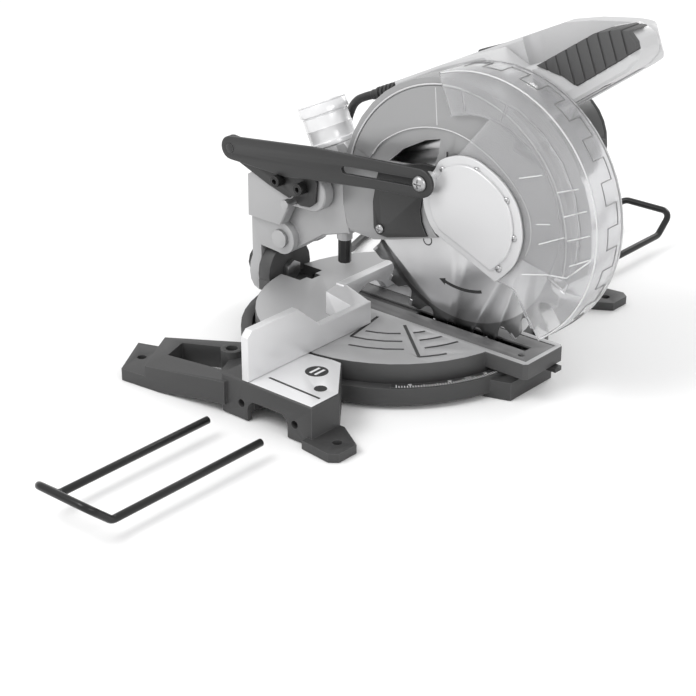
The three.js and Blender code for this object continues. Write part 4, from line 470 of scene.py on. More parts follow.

# %% [markdown]
# The clear guard is a thin moulding of clear plastic. It is nearly all transmission with a little base colour, so
# that it stays faintly white over a white background, as the real moulding does. The raised lines of the mould are
# given a whiter colour and less transmission, a painted highlight for the light they catch on the walls, and the
# stepped line on the rim is given a dark grey, which is painted shade.

# %% Clear plastic
clear_plastic = surface("clear moulding", grey(0.86), grey(0.93), 0.09, 0.0, size=300, patches=30, bump=0.1,
                        depth=0.0004, rough_drift=0.05, more={"Transmission Weight": 0.82, "IOR": 1.38})
# Painted highlight: the raised lines get a whiter colour and less transmission than the clear plastic.
raised_line_painted_highlight = surface("mould line painted highlight", grey(0.90), grey(0.97), 0.2, 0.0, size=300, patches=30, bump=0.1,
                     more={"Transmission Weight": 0.3})
# Painted shade: the stepped line on the rim gets a dark grey.
rim_step_painted_shade = surface("mould step painted shade", grey(0.22), grey(0.28), 0.3, 0.0, size=300, patches=30, bump=0.1,
                    more={"Transmission Weight": 0.25})
print("clear finishes:", clear_plastic.name, raised_line_painted_highlight.name, rim_step_painted_shade.name)

# %% [markdown]
# The blade is ground in circles round its bore. Two things show that: fine rings in the tone, and an anisotropic
# highlight whose direction runs round the axis, which gives the bright wedges of light on a real blade. Outside the
# ground body a duller band carries the teeth.

# %% Ground blade steel
BLADE_Y, BLADE_Z = -68, 128
GROUND_END, DULL_START = 87.8 * MM, 88.6 * MM
blade_steel, tree, shader = new_look("ground blade")
put(shader, {"Metallic": 1.0, "Anisotropic": 0.72})
place = wired(tree, "ShaderNodeTexCoord")
from_axis = wired(tree, "ShaderNodeVectorMath", {1: at(0, BLADE_Y, BLADE_Z)}, operation="SUBTRACT")
flat = wired(tree, "ShaderNodeVectorMath", {1: (0, 1, 1)}, operation="MULTIPLY")
reach = wired(tree, "ShaderNodeVectorMath", operation="LENGTH")
band = wired(tree, "ShaderNodeMapRange", {"From Min": GROUND_END, "From Max": DULL_START})
rings = wired(tree, "ShaderNodeTexNoise", {"Scale": 2600, "Detail": 2}, noise_dimensions="1D")
spots = wired(tree, "ShaderNodeGroup", {"Patches": 20}, node_tree=grain)
ground = mixed(tree, spots.outputs["Tone"], grey(0.52), grey(0.66))
colour = mixed(tree, band.outputs["Result"], ground, grey(0.3))
gloss = wired(tree, "ShaderNodeMapRange", {"To Min": 0.26, "To Max": 0.4})
lines = wired(tree, "ShaderNodeBump", {"Strength": 0.05, "Distance": 0.2 * MM})
round_axis = wired(tree, "ShaderNodeTangent", direction_type="RADIAL", axis="X")
link(tree, (place.outputs["Object"], from_axis.inputs[0]), (from_axis.outputs["Vector"], flat.inputs[0]),
     (flat.outputs["Vector"], reach.inputs[0]), (reach.outputs["Value"], band.inputs["Value"]),
     (reach.outputs["Value"], rings.inputs["W"]), (rings.outputs["Fac"], lines.inputs["Height"]),
     (colour, shader.inputs["Base Color"]), (spots.outputs["Tone"], gloss.inputs["Value"]),
     (gloss.outputs["Result"], shader.inputs["Roughness"]), (lines.outputs["Normal"], shader.inputs["Normal"]),
     (round_axis.outputs["Tangent"], shader.inputs["Tangent"]))
print("blade steel has", len(tree.nodes), "nodes")

# %% [markdown]
# Each CAD node gets one of these finishes. Most nodes get a finer model further down, which takes its finish from
# the same list. The node is hidden then, but nothing is ever left bare.

# %% Finishes on the CAD nodes
dressed = {
    cast_coat: ["turntable"],
    base_coat: ["base_frame"],
    milled: ["fence"],
    silver_paint: ["head_arm", "bevel_bracket"],
    guard_paint: ["upper_guard"],
    satin_cover: ["hub_plate", "gear_cover"],
    ground_steel: ["saw_blade"],
    plain_steel: ["spindle", "outer_flange", "arbor_bolt", "spindle_gear", "pivot_bolt", "bevel_bolt", "hinge_pin",
                  "return_spring", "transport_pin", "spindle_bearing", "mitre_pointer"],
    black_oxide: ["fence_screw_left", "fence_screw_right", "left_lock_screw", "right_lock_screw",
                  "insert_screw_front", "insert_screw_rear", "link_plate_screw_front", "link_plate_screw_rear",
                  "guard_link_screw", "side_plate_screw", "depth_stop_screw"],
    dark_plate: ["slotted_bar", "side_plate", "link_plate", "mitre_scale"],
    enamel: ["left_extension_bar", "right_extension_bar"],
    kerf_insert_painted_light: ["kerf_insert"],
    black_plastic: ["mitre_lock_lever", "bevel_lock_lever", "motor_housing", "motor_end_cap", "brush_cap_rear",
                    "brush_cap_front", "switch_block", "trigger", "lock_off_button", "spindle_lock_button",
                    "strain_relief", "plug"],
    grey_plastic: ["handle_left_shell", "handle_right_shell", "clear_guard"],
    port_paint: ["dust_port"],
    grip_skin: ["soft_grip"],
    sheath: ["cord", "cord_coil"],
    copper: ["armature", "stator"],
}
look_of_node = {name: look for look, names in dressed.items() for name in names}
for name, look in look_of_node.items():
    node = frame["nodes"][name]
    node.data.materials.clear()
    node.data.materials.append(look)
print("dressed nodes:", len(look_of_node))

# %% [markdown]
# ## Floor, background and light
#
# A studio picture of a tool has a white sweep and large soft lights. The floor here is a plain pale plane that keeps
# the saw's shadow, the background is white because the world is white where the camera, a mirror or clear plastic
# looks at it, and the lamps are wide areas, so that metal shows soft bright bands.

# %% Floor
fresh()
bpy.ops.mesh.primitive_plane_add(size=6, location=(0, 0, -0.0005))
floor = bpy.context.object
floor.name = "floor"
sweep, tree, shader = new_look("white floor")
put(shader, {"Base Color": (0.96, 0.96, 0.96, 1), "Roughness": 0.9})
floor.data.materials.append(sweep)

# %% World
world = bpy.data.worlds.new("studio")
scene.world = world
world.use_nodes = True
tree = world.node_tree
background = tree.nodes["Background"]
put(background, {"Color": (1, 1, 1, 1)})
rays = wired(tree, "ShaderNodeLightPath")
seen = wired(tree, "ShaderNodeMath", operation="ADD", use_clamp=True)
seen_more = wired(tree, "ShaderNodeMath", operation="ADD", use_clamp=True)
level = wired(tree, "ShaderNodeMapRange", {"To Min": 0.8, "To Max": 1.0})
link(tree, (rays.outputs["Is Camera Ray"], seen.inputs[0]), (rays.outputs["Is Glossy Ray"], seen.inputs[1]),
     (seen.outputs["Value"], seen_more.inputs[0]), (rays.outputs["Is Transmission Ray"], seen_more.inputs[1]),
     (seen_more.outputs["Value"], level.inputs["Value"]), (level.outputs["Result"], background.inputs["Strength"]))

# %% Lamps


def softbox(name, place, target, size, power):
    lamp = bpy.data.lights.new(name, "AREA")
    lamp.shape = "RECTANGLE"
    lamp.size, lamp.size_y = size
    lamp.energy = power
    lamp_object = bpy.data.objects.new(name, lamp)
    scene.collection.objects.link(lamp_object)
    lamp_object.location = place
    lamp_object.rotation_euler = (Vector(target) - Vector(place)).to_track_quat("-Z", "Y").to_euler()
    return lamp_object


softbox("key", (-1.3, 0.5, 1.7), (0, 0, 0.1), (1.2, 0.9), 20)
softbox("front fill", (-0.4, -1.9, 1.1), (0, 0, 0.1), (1.4, 0.8), 9)
softbox("right edge", (1.7, 0.2, 1.0), (0, 0, 0.15), (0.5, 1.2), 9)

# %% [markdown]
# ## Mains lead
#
# The lead is a soft round sheath of about two metres. It leaves the handle's rear end through a ribbed sleeve, drops
# behind the machine and ends in a coil on the bench with its plug. A curve with a round thickness is the natural way
# to make it: its points are the places where the lead hangs and lies, and only the coil is laid by a loop.

# %% The lead's way
LEAD_RADIUS = 3.5
leave = Vector((26, 46.24, 194.74))
outward = Vector((0, 0.92978, -0.36812))
way = [leave, leave + outward * LEAD_RADIUS * 2]
way += [(28.5, 66, 184.5), (32.5, 76, 172), (36.5, 83.5, 155), (40, 89, 135), (44, 94, 114), (50, 99, 93),
        (58, 105, 72), (68, 112.5, 52), (80, 121.5, 34), (95, 132, 19), (112, 143.5, 9.2), (131, 154, 4.9),
        (152, 161.5, 4), (174, 164.6, 4), (196, 164.6, 4), (216, 163.9, 4), (237.7, 163.7, 4)]

coil_x, coil_y, pitch, turns, rounds_per_turn = 252, 112, 7.8, 3, 24
for step in range(2 * turns * rounds_per_turn + 1):
    wound = step / rounds_per_turn
    reach = 40 + pitch * turns / 2 - pitch * min(wound, 2 * turns - wound)
    climb = min(1, max(0, (wound - turns) * 2 + 0.5))
    angle = math.pi / 2 - 2 * math.pi * wound
    way.append((coil_x + reach * math.cos(angle), coil_y + reach * math.sin(angle), 4 + pitch * climb))
end = way[-1]
way += [(end[0] + 14, end[1], end[2]), (end[0] + 28, end[1], end[2])]
print("points along the lead:", len(way))

# %% One fine line through the points
guide = bpy.data.curves.new("lead_guide", "CURVE")
guide.dimensions = "3D"
path = guide.splines.new("BEZIER")
path.bezier_points.add(len(way) - 1)
for point, spot in zip(path.bezier_points, way):
    point.co = at(*spot)
    point.handle_left_type = point.handle_right_type = "AUTO"
guide_object = bpy.data.objects.new("lead_guide", guide)
scene.collection.objects.link(guide_object)
bpy.context.view_layer.update()
STEPS = 6
lead_line = []
for here, there in zip(path.bezier_points[:-1], path.bezier_points[1:]):
    lead_line += interpolate_bezier(here.co, here.handle_right, there.handle_left, there.co, STEPS + 1)[:-1]
lead_line.append(path.bezier_points[-1].co.copy())
bpy.data.objects.remove(guide_object)
print("fine points:", len(lead_line))

# %% [markdown]
# The handle moves and the coil lies still, so the lead has to give way between them. A tube can bend across one joint
# at a time, so the free part is made as three short runs, one for each joint between the handle and the bench, and
# the fourth run is the coil. Their ends meet at points of the lead's way, and each run has its own length.

# %% The lead in four runs


def length_of(points):
    return sum((b - a).length for a, b in zip(points[:-1], points[1:]))


run_names = ("lead_head_run", "lead_bevel_run", "lead_table_run")
run_ends = (0, 5, 8, 13)
for i, name in enumerate(run_names):
    spots = lead_line[run_ends[i] * STEPS:run_ends[i + 1] * STEPS + 1]
    run = smooth(wire(name, spots, LEAD_RADIUS, 20), 60)
    run.name = name
    run.data.materials.clear()
    run.data.materials.append(sheath)
    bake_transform(run)

coil_line = lead_line[run_ends[-1] * STEPS:]
line = bpy.data.curves.new("lead", "CURVE")
line.dimensions = "3D"
coil_path = line.splines.new("POLY")
coil_path.points.add(len(coil_line) - 1)
for point, spot in zip(coil_path.points, coil_line):
    point.co = (*spot, 1)
line.bevel_depth = LEAD_RADIUS * MM
line.bevel_resolution = 4
line.use_fill_caps = True
lead = bpy.data.objects.new("lead", line)
scene.collection.objects.link(lead)
lead.data.materials.append(sheath)
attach(lead, "base")
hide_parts("cord", "cord_coil")
print("lead:", round(length_of(lead_line), 3), "m")

# %% [markdown]
# The plug is a moulded two-pin plug. Its body is a turned profile with a waist and grip rings, which is how such a
# moulding looks from every side, and the pins have rounded tips. It is turned round the lead's own line.

# %% Plug
plug_y, plug_z, plug_x = end[1], end[2], 280.3
body_profile = [(0, 0), (0, 4.3), (3, 4.5), (4, 5.4), (6, 5.4), (7, 4.9), (9, 5.0), (10, 6.0), (12, 6.1), (13, 5.6),
                (15, 5.9), (17, 7.4), (19, 9.0), (22, 10.2), (24, 10.8), (36.5, 10.8), (38, 9.6), (38, 0)]
plug_body = turned("plug_body", body_profile, (plug_x, plug_y, plug_z), (1, 0, 0), 48)
grips = [slab((plug_x + 23 + 3 * i, plug_y - 14, plug_z + 9.9), (plug_x + 24.4 + 3 * i, plug_y + 14, plug_z + 14))
         for i in range(4)]
carve(plug_body, *grips)
soften(plug_body, 0.3, 2, 40)
smooth(plug_body, 40)
stand_in(plug_body, black_plastic, "plug")

pins = []
for side in (-1, 1):
    pin = turned("pin", [(0, 0), (0, 2.35), (17.6, 2.35), (18.6, 1.6), (19, 0.6), (19, 0)],
                 (plug_x + 38, plug_y + side * 6.65, plug_z), (1, 0, 0), 24)
    pins.append(pin)
plug_pins = smooth(gather("plug_pins", *pins), 40)
detail(plug_pins, plain_steel, "steel", "plug")

# %% [markdown]
# The sleeve that guards the lead where it leaves the handle is a soft tube with ridges, so that it bends evenly. It
# is one turned profile as well, and its ridges get lower towards the lead.

# %% Strain relief
SLOPE = turn(21.6)


def on_handle(x, back, up):
    """A place on the handle: back along its slope from the rear top edge, and up square to the slope."""
    return Vector((x, 24 + back * math.cos(SLOPE) + up * math.sin(SLOPE),
                   210 - back * math.sin(SLOPE) + up * math.cos(SLOPE)))


ridges = []
for i in range(6):
    back, tall = -6.4 + 4.6 * i, 6.55 - 0.26 * i
    ridges += [(back, tall - 1.7), (back + 0.5, tall), (back + 2.7, tall - 0.05), (back + 3.2, tall - 1.75)]
sleeve_profile = [(-20, 0), (-20, 4.5), (-7.6, 4.5)] + ridges + [(23, 4.2), (25.4, 4.15), (26, 3.9), (26, 0)]
sleeve = turned("lead_sleeve", sleeve_profile, on_handle(26, 0, -6), (0, math.cos(SLOPE), -math.sin(SLOPE)), 40)
smooth(soften(sleeve, 0.25, 2, 40), 40)
stand_in(sleeve, black_plastic, "strain_relief")

# %% [markdown]
# ## From solid to finished piece
#
# A solid from the frame has the right shape but razor edges and loose triangles. A copy of it can be finished in a
# few steps: its doubles are merged, flat areas are dissolved to single faces, every edge is bevelled, and round parts
# are shaded smooth. That keeps each piece exactly in its place, so it is used for castings, plates and covers.

# %% A refined copy of a node


def refined(node, look, slot, width, segments=2, angle=34, name=None):
    """A softened copy of a CAD node that stands in for it and rides its body; width is the bevel's."""
    piece = frame["nodes"][node].copy()
    piece.data = frame["nodes"][node].data.copy()
    piece.name = name or node + "_finished"
    scene.collection.objects.link(piece)
    piece.parent = None
    piece.matrix_world = Matrix.Identity(4)
    piece.hide_render = False
    piece.hide_viewport = False
    edit(piece)
    bpy.ops.mesh.remove_doubles(threshold=2e-6)
    bpy.ops.mesh.dissolve_limited(angle_limit=turn(0.6))
    done()
    soften(piece, width, segments, angle)
    smooth(piece, 40)
    return finish(piece, look, slot, body_of_node[node], node)


# %% Castings, plates and covers
# Each casting's slot, the width of its bevel in millimetres and the bevel's steps.
castings = {
    "base_frame": ("cast_dark", 0.9, 2),
    "turntable": ("cast_dark", 0.8, 2),
    "head_arm": ("silver_cast", 0.9, 2),
    "bevel_bracket": ("silver_cast", 0.9, 2),
    "fence": ("machined_light", 0.5, 2),
    "upper_guard": ("silver_cast", 0.8, 2),
    "gear_cover": ("silver_cast", 0.8, 2),
    "side_plate": ("silver_cast", 0.4, 2),
    "link_plate": ("silver_cast", 0.4, 2),
    "slotted_bar": ("dark_metal", 0.5, 2),
    "motor_housing": ("black_plastic", 0.5, 2),
    "motor_end_cap": ("black_plastic", 0.8, 2),
    "handle_left_shell": ("grey_plastic", 2.2, 3),
    "handle_right_shell": ("grey_plastic", 2.2, 3),
    "soft_grip": ("grip_rubber", 0.4, 2),
    "kerf_insert": ("black_plastic", 0.3, 2),
    "mitre_lock_lever": ("black_plastic", 1.0, 3),
    "bevel_lock_lever": ("black_plastic", 0.8, 3),
    "trigger": ("black_plastic", 0.6, 2),
    "lock_off_button": ("black_plastic", 0.6, 3),
}
shown = {}
for node, (slot, width, segments) in castings.items():
    shown[node] = refined(node, look_of_node[node], slot, width, segments)

# %% [markdown]
# ## Saw blade
#
# The blade is a thin ground disc with 24 carbide-tipped teeth. It turns so that the teeth at the bottom run to the
# back, so each tooth's steep face looks that way. One tooth is drawn as pairs of a share of the pitch and a radius,
# and a loop lays it round the disc: an outline is far easier to shape than cutting 24 gullets out of a disc.

# %% Blade body
TEETH = 24
tooth = [(0, 104.6), (0.03, 102.4), (0.06, 100.0), (0.09, 97.5), (0.13, 95.0), (0.19, 93.0), (0.27, 92.0),
         (0.36, 92.1), (0.44, 93.2), (0.50, 95.2), (0.55, 97.8), (0.60, 100.2), (0.67, 101.6), (0.82, 103.0)]


def on_blade(x, share, radius):
    angle = 2 * math.pi * share / TEETH
    return at(x, BLADE_Y + radius * math.cos(angle), BLADE_Z + radius * math.sin(angle))


rim = [on_blade(0.85, i + share, radius) for i in range(TEETH) for share, radius in tooth]
disc = thicken(outline("blade_body", rim), (-1.7 * MM, 0, 0))
carve(disc, bar("x", 15, -4, 4, (BLADE_Y, BLADE_Z), 64))
smooth(soften(disc, 0.12, 1, 50), 50)
stand_in(disc, blade_steel, "saw_blade")

# %% [markdown]
# The carbide tips are wider than the disc, so that the blade runs free in its cut. One tip is a small plate brazed
# to the front of a tooth. It is modelled once, then copied round the blade.

# %% Carbide tips
tip_places = [on_blade(1.2, share, radius) for share, radius in ((0.0, 105.0), (0.065, 99.4), (-0.02, 98.9),
                                                                (-0.085, 104.3))]
tip = thicken(outline("blade_tips", tip_places), (-2.4 * MM, 0, 0))
soften(tip, 0.15, 1, 30)
tips = repeated(tip, TEETH, (1, 0, 0), (0, BLADE_Y, BLADE_Z), 2 * math.pi / TEETH)
detail(tips, plain_steel, "steel", "saw_blade")

# %% [markdown]
# A printed arrow on the blade's outer side shows which way it turns. It is a curved band that ends in a head, lifted
# a hair above the steel. A printed ring stands beside the hub.

# %% Arrow and ring printed on the blade
arrow = []
for radius, first, last in ((63.7, -108.5, -75.0), (61.1, -75.0, -108.5)):
    for step in range(13):
        angle = turn(first + (last - first) * step / 12)
        arrow.append((radius, angle))
arrow[13:13] = [(65.4, turn(-75.6)), (63.2, turn(-69.4)), (59.6, turn(-74.4))]
arrow_places = [at(-0.86, BLADE_Y + radius * math.cos(angle), BLADE_Z + radius * math.sin(angle))
                for radius, angle in arrow]
arrow_print = thicken(outline("blade_arrow", arrow_places), (-0.06 * MM, 0, 0))
detail(arrow_print, paint_black, "dark_metal", "saw_blade")

ring_print = turned("blade_ring", [(0.86, 3.6), (0.92, 3.6), (0.92, 4.6), (0.86, 4.6)], (0, -33.3, 98.2), (-1, 0, 0),
                    48)
detail(ring_print, paint_black, "dark_metal", "saw_blade")

# %% [markdown]
# ## Hub plate
#
# A pressed metal plate holds the clear guard's middle. Its rim follows a smooth egg shape with one straight edge at
# the front, and its middle is raised. The outline is a curve laid through a few points; the raised field repeats it,
# drawn in towards the middle, and its wide bevel makes the sloping edge that catches the light.

# %% A smooth line through points


def through(points, steps):
    """Catmull-Rom points from the first to the last of the given pairs."""
    ends = [[2 * a - b for a, b in zip(points[0], points[1])], *points,
            [2 * a - b for a, b in zip(points[-1], points[-2])]]
    line = []
    for i in range(1, len(ends) - 2):
        before, here, there, after = ends[i - 1:i + 3]
        for step in range(steps):
            t = step / steps
            line.append(tuple(0.5 * (2 * h + (n - b) * t + (2 * b - 5 * h + 4 * n - a) * t * t
                                     + (3 * h - b - 3 * n + a) * t ** 3)
                              for b, h, n, a in zip(before, here, there, after)))
    return line + [tuple(points[-1])]


# %% Hub plate
hub_points = [(-57, 117), (-50, 126), (-45, 140), (-47, 156), (-56, 169), (-61, 177), (-76, 184), (-92, 185),
              (-107, 180), (-122, 171), (-133, 158), (-138, 144), (-139, 130), (-134, 113), (-126, 102), (-116, 92)]
hub_line = through(hub_points, 5)
hub_middle = [sum(p[i] for p in hub_points) / len(hub_points) for i in (0, 1)]


def hub_shape(name, x, share):
    return outline(name, [at(x, *(m + (v - m) * share for v, m in zip(p, hub_middle))) for p in hub_line])


plate = soften(thicken(hub_shape("hub_plate_finished", -20.3, 1), (-2.4 * MM, 0, 0)), 0.7, 3, 40)
field = soften(thicken(hub_shape("field", -22.4, 0.84), (-2.9 * MM, 0, 0)), 1.8, 4, 40)
collar = soften(bar("x", 7, -22, -30.4, (-52, 159), 48), 0.5, 2, 40)
hub = smooth(gather("hub_plate_finished", plate, field, collar), 36)
stand_in(hub, satin_cover, "hub_plate")

# %% [markdown]
# Five dome screws hold the plate. A dome head is a turned quarter profile with a crossed slot cut into it. One screw
# is modelled and copied to the other places.

# %% Dome screws
screw_places = [(-64, 170), (-96, 177), (-124, 160), (-132, 132), (-119, 104)]


def dome_screw(name, place, seat, radius, height, slot_width):
    head = turned(name, [(0, 0), (0, radius), (height * 0.35, radius * 0.97), (height * 0.7, radius * 0.78),
                         (height * 0.92, radius * 0.45), (height, radius * 0.2), (height, 0)],
                  (seat, *place), (-1, 0, 0), 32)
    long, half = radius * 0.6, slot_width / 2
    for wide, tall in ((long, half), (half, long)):
        carve(head, slab((seat - height * 2, place[0] - wide, place[1] - tall),
                         (seat - height * 0.35, place[0] + wide, place[1] + tall)))
    return smooth(head, 40)


first_screw = dome_screw("hub_screws", screw_places[0], -22.7, 3.0, 2.0, 0.8)
screws = [first_screw]
for place in screw_places[1:]:
    only(first_screw)
    bpy.ops.object.duplicate()
    copy = bpy.context.object
    copy.data.transform(Matrix.Translation(at(0, *place) - at(0, *screw_places[0])))
    screws.append(copy)
detail(gather("hub_screws", *screws), plain_steel, "steel", "hub_plate")

# %% [markdown]
# ## Clear guard
#
# The clear guard swings over the lower half of the blade. It is one moulding: a near wall, a rim and a far wall. The
# refined copy gives that shell, and the raised lines of the mould are laid onto it: rings with a round section along
# the edges, short ribs across the near wall, and a stepped line that runs to and fro along the rim.

# %% Guard shell
refined("clear_guard", clear_plastic, "clear_plastic", 0.5, 2, 30, "clear_guard_shell")

# %% Places on the clear guard
GUARD_Y, GUARD_Z = -96, 144


def on_guard(x, radius, degrees):
    """Degrees are measured from straight ahead, upwards positive."""
    return at(x, GUARD_Y - radius * math.cos(turn(degrees)), GUARD_Z + radius * math.sin(turn(degrees)))


def guard_arc(x, radius, first, last, step=4):
    count = max(1, round(abs(last - first) / step))
    return [on_guard(x, radius, first + (last - first) * i / count) for i in range(count + 1)]


# %% Raised rings and ribs
ridges = []
for x, first, last, thick in ((-19.6, -55, 111, 0.6), (13.0, -55, 111, 0.5)):
    ridges.append(wire("ring", guard_arc(x, 107.2, first, last), thick, 8))
rib_ends = [((-167, 176), (-185, 183)), ((-174, 159), (-193, 168)), ((-178, 141), (-197, 150)),
            ((-181, 122), (-199, 132)), ((-133, 179), (-153, 186)), ((-150, 147), (-162, 150)),
            ((-153, 132), (-175, 143))]
for start, end in rib_ends:
    ridges.append(wire("rib", [at(-20.2, *start), at(-20.1, *end)], 0.55, 8))
ridges.append(wire("rib", [at(-20.2, *p) for p in ((-139, 104), (-162, 110), (-179, 112), (-199, 131))], 0.6, 8))
raised = smooth(gather("clear_guard_ribs", *ridges), 50)
# The rings and ribs carry the painted-highlight finish.
detail(raised, raised_line_painted_highlight, "clear_plastic", "clear_guard")

# %% [markdown]
# The stepped line on the rim goes across, along, back and along again. Its corners are places on the rim, found by a
# loop, and a thin round wire follows them.

# %% Stepped line on the rim
corners = []
for i in range(18):
    degrees = 104 - 9 * i
    here, there = ((-7, 6), (6, -7))[i % 2]
    corners += [on_guard(here, 108.0, degrees), on_guard(there, 108.0, degrees)]
    corners += [on_guard(there, 108.0, degrees - 3), on_guard(there, 108.0, degrees - 6)]
step_line = smooth(wire("clear_guard_step_line", corners, 0.45, 8), 60)
# The stepped line carries the painted-shade finish.
detail(step_line, rim_step_painted_shade, "clear_plastic", "clear_guard")

# %% [markdown]
# ## Raised band on the fixed guard
#
# The side of the fixed guard steps up into a band that follows its rim. The band is an outline between two curves,
# given a small thickness and a soft edge, which is the line of light seen round the guard. Thin wires in the lighter
# satin paint run along the band's inner edge and along the rim: they are painted highlights, lines of light drawn in
# colour. A thin seam wire in the same light paint crosses the band.

# %% Band and seam


def on_blade_axis(radius, degrees):
    return (BLADE_Y - radius * math.cos(turn(degrees)), BLADE_Z + radius * math.sin(turn(degrees)))


step_points = [(14.7, 159.6), (2.5, 175.4), (-18, 189), (-37, 196), (-56, 199), (-73, 198), (-92, 192.5),
               (-106, 186), (-122, 174.5), (-135, 161), (-142, 147), (-143, 130.5), (-138, 114)]
inner_edge = through(step_points, 4)
outer_edge = [on_blade_axis(105, degrees) for degrees in range(-11, 160, 5)]
band_line = [at(-13.9, *p) for p in inner_edge + outer_edge]
band_piece = soften(thicken(outline("upper_guard_band", band_line), (-1.5 * MM, 0, 0)), 0.6, 3, 40)
detail(smooth(band_piece, 40), guard_paint, "silver_cast", "upper_guard")
# Painted highlights: light satin wires along the band's inner edge and the rim, and a seam wire in the same paint.
painted_highlight_beads = [wire("bead", [at(-15.2, *p) for p in inner_edge[1:-1]], 0.55, 8),
         wire("bead", [at(-14.9, *on_blade_axis(106.5, degrees)) for degrees in range(-11, 166, 4)], 0.7, 8),
         wire("seam", [at(-15.3, *p) for p in ((-49.5, 230), (-51.7, 201))], 0.4, 8)]
detail(smooth(gather("upper_guard_painted_highlights", *painted_highlight_beads), 40), satin_cover, "silver_cast", "upper_guard")

# %% [markdown]
# ## Machined tops
#
# The castings are coated all over and then milled flat where the work lies, so the tops of the turntable and of the
# two wings are bare metal. Those faces are picked by their height and direction and made a piece of their own, which
# keeps the grooves and the sides dark. On the wings the milling ends under the fence.

# %% Take the milled faces off a casting
TABLE_TOP = 33


def milled_top(casting, name, behind=None):
    """The faces at the height of the table top, and where behind is given, only those in front of that line."""
    if behind is not None:
        edit(casting)
        bpy.ops.mesh.bisect(plane_co=at(0, behind, 0), plane_no=(0, 1, 0))
        done()
    edit(casting)
    bpy.ops.mesh.select_all(action="DESELECT")
    bpy.ops.mesh.select_mode(type="FACE")
    done()
    picked = 0
    for face in casting.data.polygons:
        level = abs(face.center.z - TABLE_TOP * MM) < 0.0003 and face.normal.z > 0.95
        face.select = level and (behind is None or face.center.y < at(0, behind, 0).y)
        picked += face.select
    bpy.ops.object.mode_set(mode="EDIT")
    bpy.ops.mesh.separate(type="SELECTED")
    done()
    top = [o for o in bpy.context.selected_objects if o != casting][0]
    top.name = name
    print(name, "takes", picked, "faces")
    return top


table_top = milled_top(shown["turntable"], "table_top")
detail(table_top, table_face, "machined_light", "turntable")
wing_tops = milled_top(shown["base_frame"], "wing_tops", -4)
detail(wing_tops, wing_face, "machined_light", "base_frame")

# %% [markdown]
# The left wing has a black strip let into its top. The round well, with two light bars across it, and the hole for
# the screw that holds the extension are drawn as flat black discs on the top: painted shade standing in for their
# dark insides.

# %% Strip, well and ring on the left wing
strip_places = [at(*p, TABLE_TOP) for p in ((-168.2, -15.5), (-166.2, -15.5), (-167.8, -67.5), (-169.8, -67.5))]
wing_strip = soften(thicken(outline("wing_strip", strip_places), (0, 0, 0.25 * MM)), 0.08, 1, 40)
# Painted shade: these two black discs stand in for the dark insides of the well and of the screw hole.
well = soften(bar("z", 9, 32.95, 33.2, (-136, -35.5), 48), 0.1, 1, 40)
screw_hole_painted_shade = soften(bar("z", 5, 32.95, 33.2, (-156, -57), 40), 0.1, 1, 40)
detail(smooth(gather("wing_strip_and_painted_hole_shade", wing_strip, well, screw_hole_painted_shade), 40), black_plastic, "black_plastic", "base_frame")
bars_in_well = [slab((-141.5, -39.5 + 5 * i, 33.15), (-130.5, -37.5 + 5 * i, 33.4)) for i in range(2)]
detail(gather("well_bars", *bars_in_well), paint_white, "machined_light", "base_frame")

# %% [markdown]
# ## Mitre scale
#
# The scale is a dark strip round the turntable with light marks for every degree, longer at each fifth, and numbers
# at the stops that are used most. Marks and numbers are print: flat and only just above the strip.

# %% Scale strip and marks
strip = refined("mitre_scale", dark_plate, slot_of_node["mitre_scale"], 0.12, 1, 34, "mitre_scale_strip")
marks = []
for degrees in range(-50, 51):
    long = 1.4 if degrees % 5 == 0 else 0
    mark = slab((-0.3, -124.6, 18.45), (0.3, -121.6 + long, 18.56))
    mark.data.transform(Matrix.Translation(at(0, 0, 0)) @ Matrix.Rotation(turn(degrees), 4, "Z")
                        @ Matrix.Translation(-at(0, 0, 0)))
    marks.append(mark)
detail(gather("scale_marks", *marks), paint_white, "machined_light", "mitre_scale")

# %% Numbers on the scale
numbers = []
for value in (0, 15, 22.5, 30, 45):
    for side in ((1,) if value == 0 else (-1, 1)):
        fresh()
        bpy.ops.object.text_add(location=(0, 0, 0))
        label = bpy.context.object
        label.data.body = str(value)
        label.data.size = 3.4 * MM
        label.data.align_x = "CENTER"
        label.data.extrude = 0.04 * MM
        only(label)
        bpy.ops.object.convert(target="MESH")
        angle = turn(side * value)
        label.data.transform(Matrix.Translation(at(0, 0, 18.54)) @ Matrix.Rotation(angle, 4, "Z")
                             @ Matrix.Translation((0, -121.0 * MM, 0)))
        numbers.append(label)
detail(gather("scale_numbers", *numbers), paint_white, "machined_light", "mitre_scale")

# %% [markdown]
# ## Extension bars
#
# Each extension is one round wire bent to a long U whose far end kicks up as a stop for long work. A wire along a
# path with rounded corners is made once per side, because the two bars stand at different places in their holes.

# %% Bars
BAR_RADIUS, BAR_Z, BAR_FRONT, BAR_REAR = 3, 13.5, -56, -2
BAR_LEG, KICK_OUT, KICK_UP, BAR_BEND = 146, 20, 17, 9


def rounded_path(corners, bend, steps=8):
    """Straight runs between corners, with each inner corner taken round."""
    line = [Vector(corners[0])]
    for before, here, after in zip(corners, corners[1:], corners[2:]):
        before, here, after = Vector(before), Vector(here), Vector(after)
        come, go = (before - here).normalized(), (after - here).normalized()
        half = come.angle(go) / 2
        reach = bend / math.tan(half)
        middle = here + (come + go).normalized() * bend / math.sin(half)
        start, stop = here + come * reach - middle, here + go * reach - middle
        swing = start.angle(stop)
        axis = start.cross(stop).normalized()
        line += [middle + Matrix.Rotation(swing * i / steps, 3, axis) @ start for i in range(steps + 1)]
    return line + [Vector(corners[-1])]


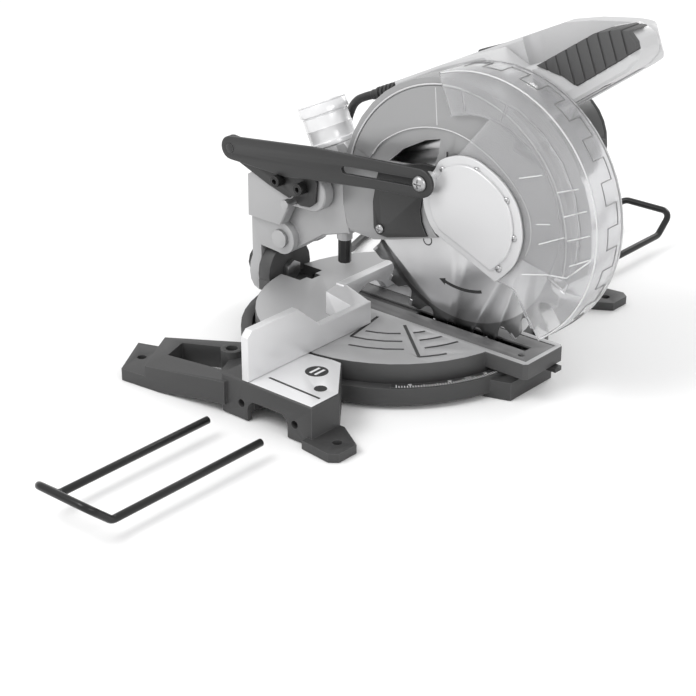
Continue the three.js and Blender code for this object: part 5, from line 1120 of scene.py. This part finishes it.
def extension(name, tip_x, out):
    bend_x = tip_x + out * BAR_LEG
    end_x, end_z = bend_x + out * KICK_OUT, BAR_Z + KICK_UP
    corners = [(tip_x, BAR_FRONT, BAR_Z), (bend_x, BAR_FRONT, BAR_Z), (end_x, BAR_FRONT, end_z),
               (end_x, BAR_REAR, end_z), (bend_x, BAR_REAR, BAR_Z), (tip_x, BAR_REAR, BAR_Z)]
    wire_bar = wire(name, [at(*p) for p in rounded_path(corners, BAR_BEND)], BAR_RADIUS, 24)
    return smooth(soften(wire_bar, 0.4, 2, 60), 50)


stand_in(extension("left_bar_wire", -220, -1), enamel, "left_extension_bar")
stand_in(extension("right_bar_wire", 165, 1), enamel, "right_extension_bar")

# %% [markdown]
# ## Dust port
#
# The port is a light moulded tube that leans back from the arm, with a rolled rim, a step that a bag clips over and
# a collar at its foot. Its whole shape, the bore included, is one profile turned round its own leaning axis.

# %% Port
LEAN = turn(24.9)
port_axis = (0, math.sin(LEAN), math.cos(LEAN))
port_profile = [(0.3, 16.5), (0.3, 20.9), (3.6, 20.9), (4.0, 20.4), (4.2, 18.8), (14, 19.0), (15, 19.5), (16, 19.0),
                (24.6, 19.4), (25, 19.0), (26.2, 19.0), (26.4, 20.6), (27.4, 20.7), (33.6, 20.5), (34.4, 20.0),
                (34.8, 20.6), (35.6, 20.6), (36, 20.2), (36, 17.8), (34.5, 17.2), (30, 16.6)]
port = turned("dust_port_tube", port_profile, (0, 64.5, 156), port_axis, 72)
smooth(soften(port, 0.2, 2, 40), 36)
stand_in(port, port_paint, "dust_port")

# %% [markdown]
# ## Screws and small parts
#
# Two pan-head screws show bright on the dark plates: the one the guard's bar slides on and the one that holds the
# side plate. They are turned like the dome screws, and each has a short shank.

# %% Pan-head screws
guard_screw = dome_screw("guard_screw_head", (-51, 159), -34.9, 6.2, 3.1, 1.3)
shank = bar("x", 2.7, -35.2, -30.9, (-51, 159), 32)
stand_in(smooth(gather("guard_screw_head", guard_screw, shank), 40), plain_steel, "guard_link_screw")
plate_screw = dome_screw("side_plate_screw_head", (3, 103), -16.7, 3.8, 1.9, 1.0)
shank = bar("x", 1.9, -17, -14.6, (3, 103), 24)
stand_in(smooth(gather("side_plate_screw_head", plate_screw, shank), 40), plain_steel, "side_plate_screw")

# %% [markdown]
# The other screws, pins and inner parts keep the frame's shape. Their edges are eased and their round sides shaded
# smooth, so they read as turned metal and moulded plastic.

# %% Eased small parts
small = ("fence_screw_left", "fence_screw_right", "left_lock_screw", "right_lock_screw", "insert_screw_front",
         "insert_screw_rear", "link_plate_screw_front", "link_plate_screw_rear", "depth_stop_screw", "spindle",
         "outer_flange", "arbor_bolt", "spindle_gear", "pivot_bolt", "bevel_bolt", "hinge_pin", "transport_pin",
         "spindle_bearing", "mitre_pointer", "brush_cap_rear", "brush_cap_front", "switch_block",
         "spindle_lock_button", "stator", "armature")
for node in small:
    refined(node, look_of_node[node], slot_of_node[node], 0.25, 2, 34)
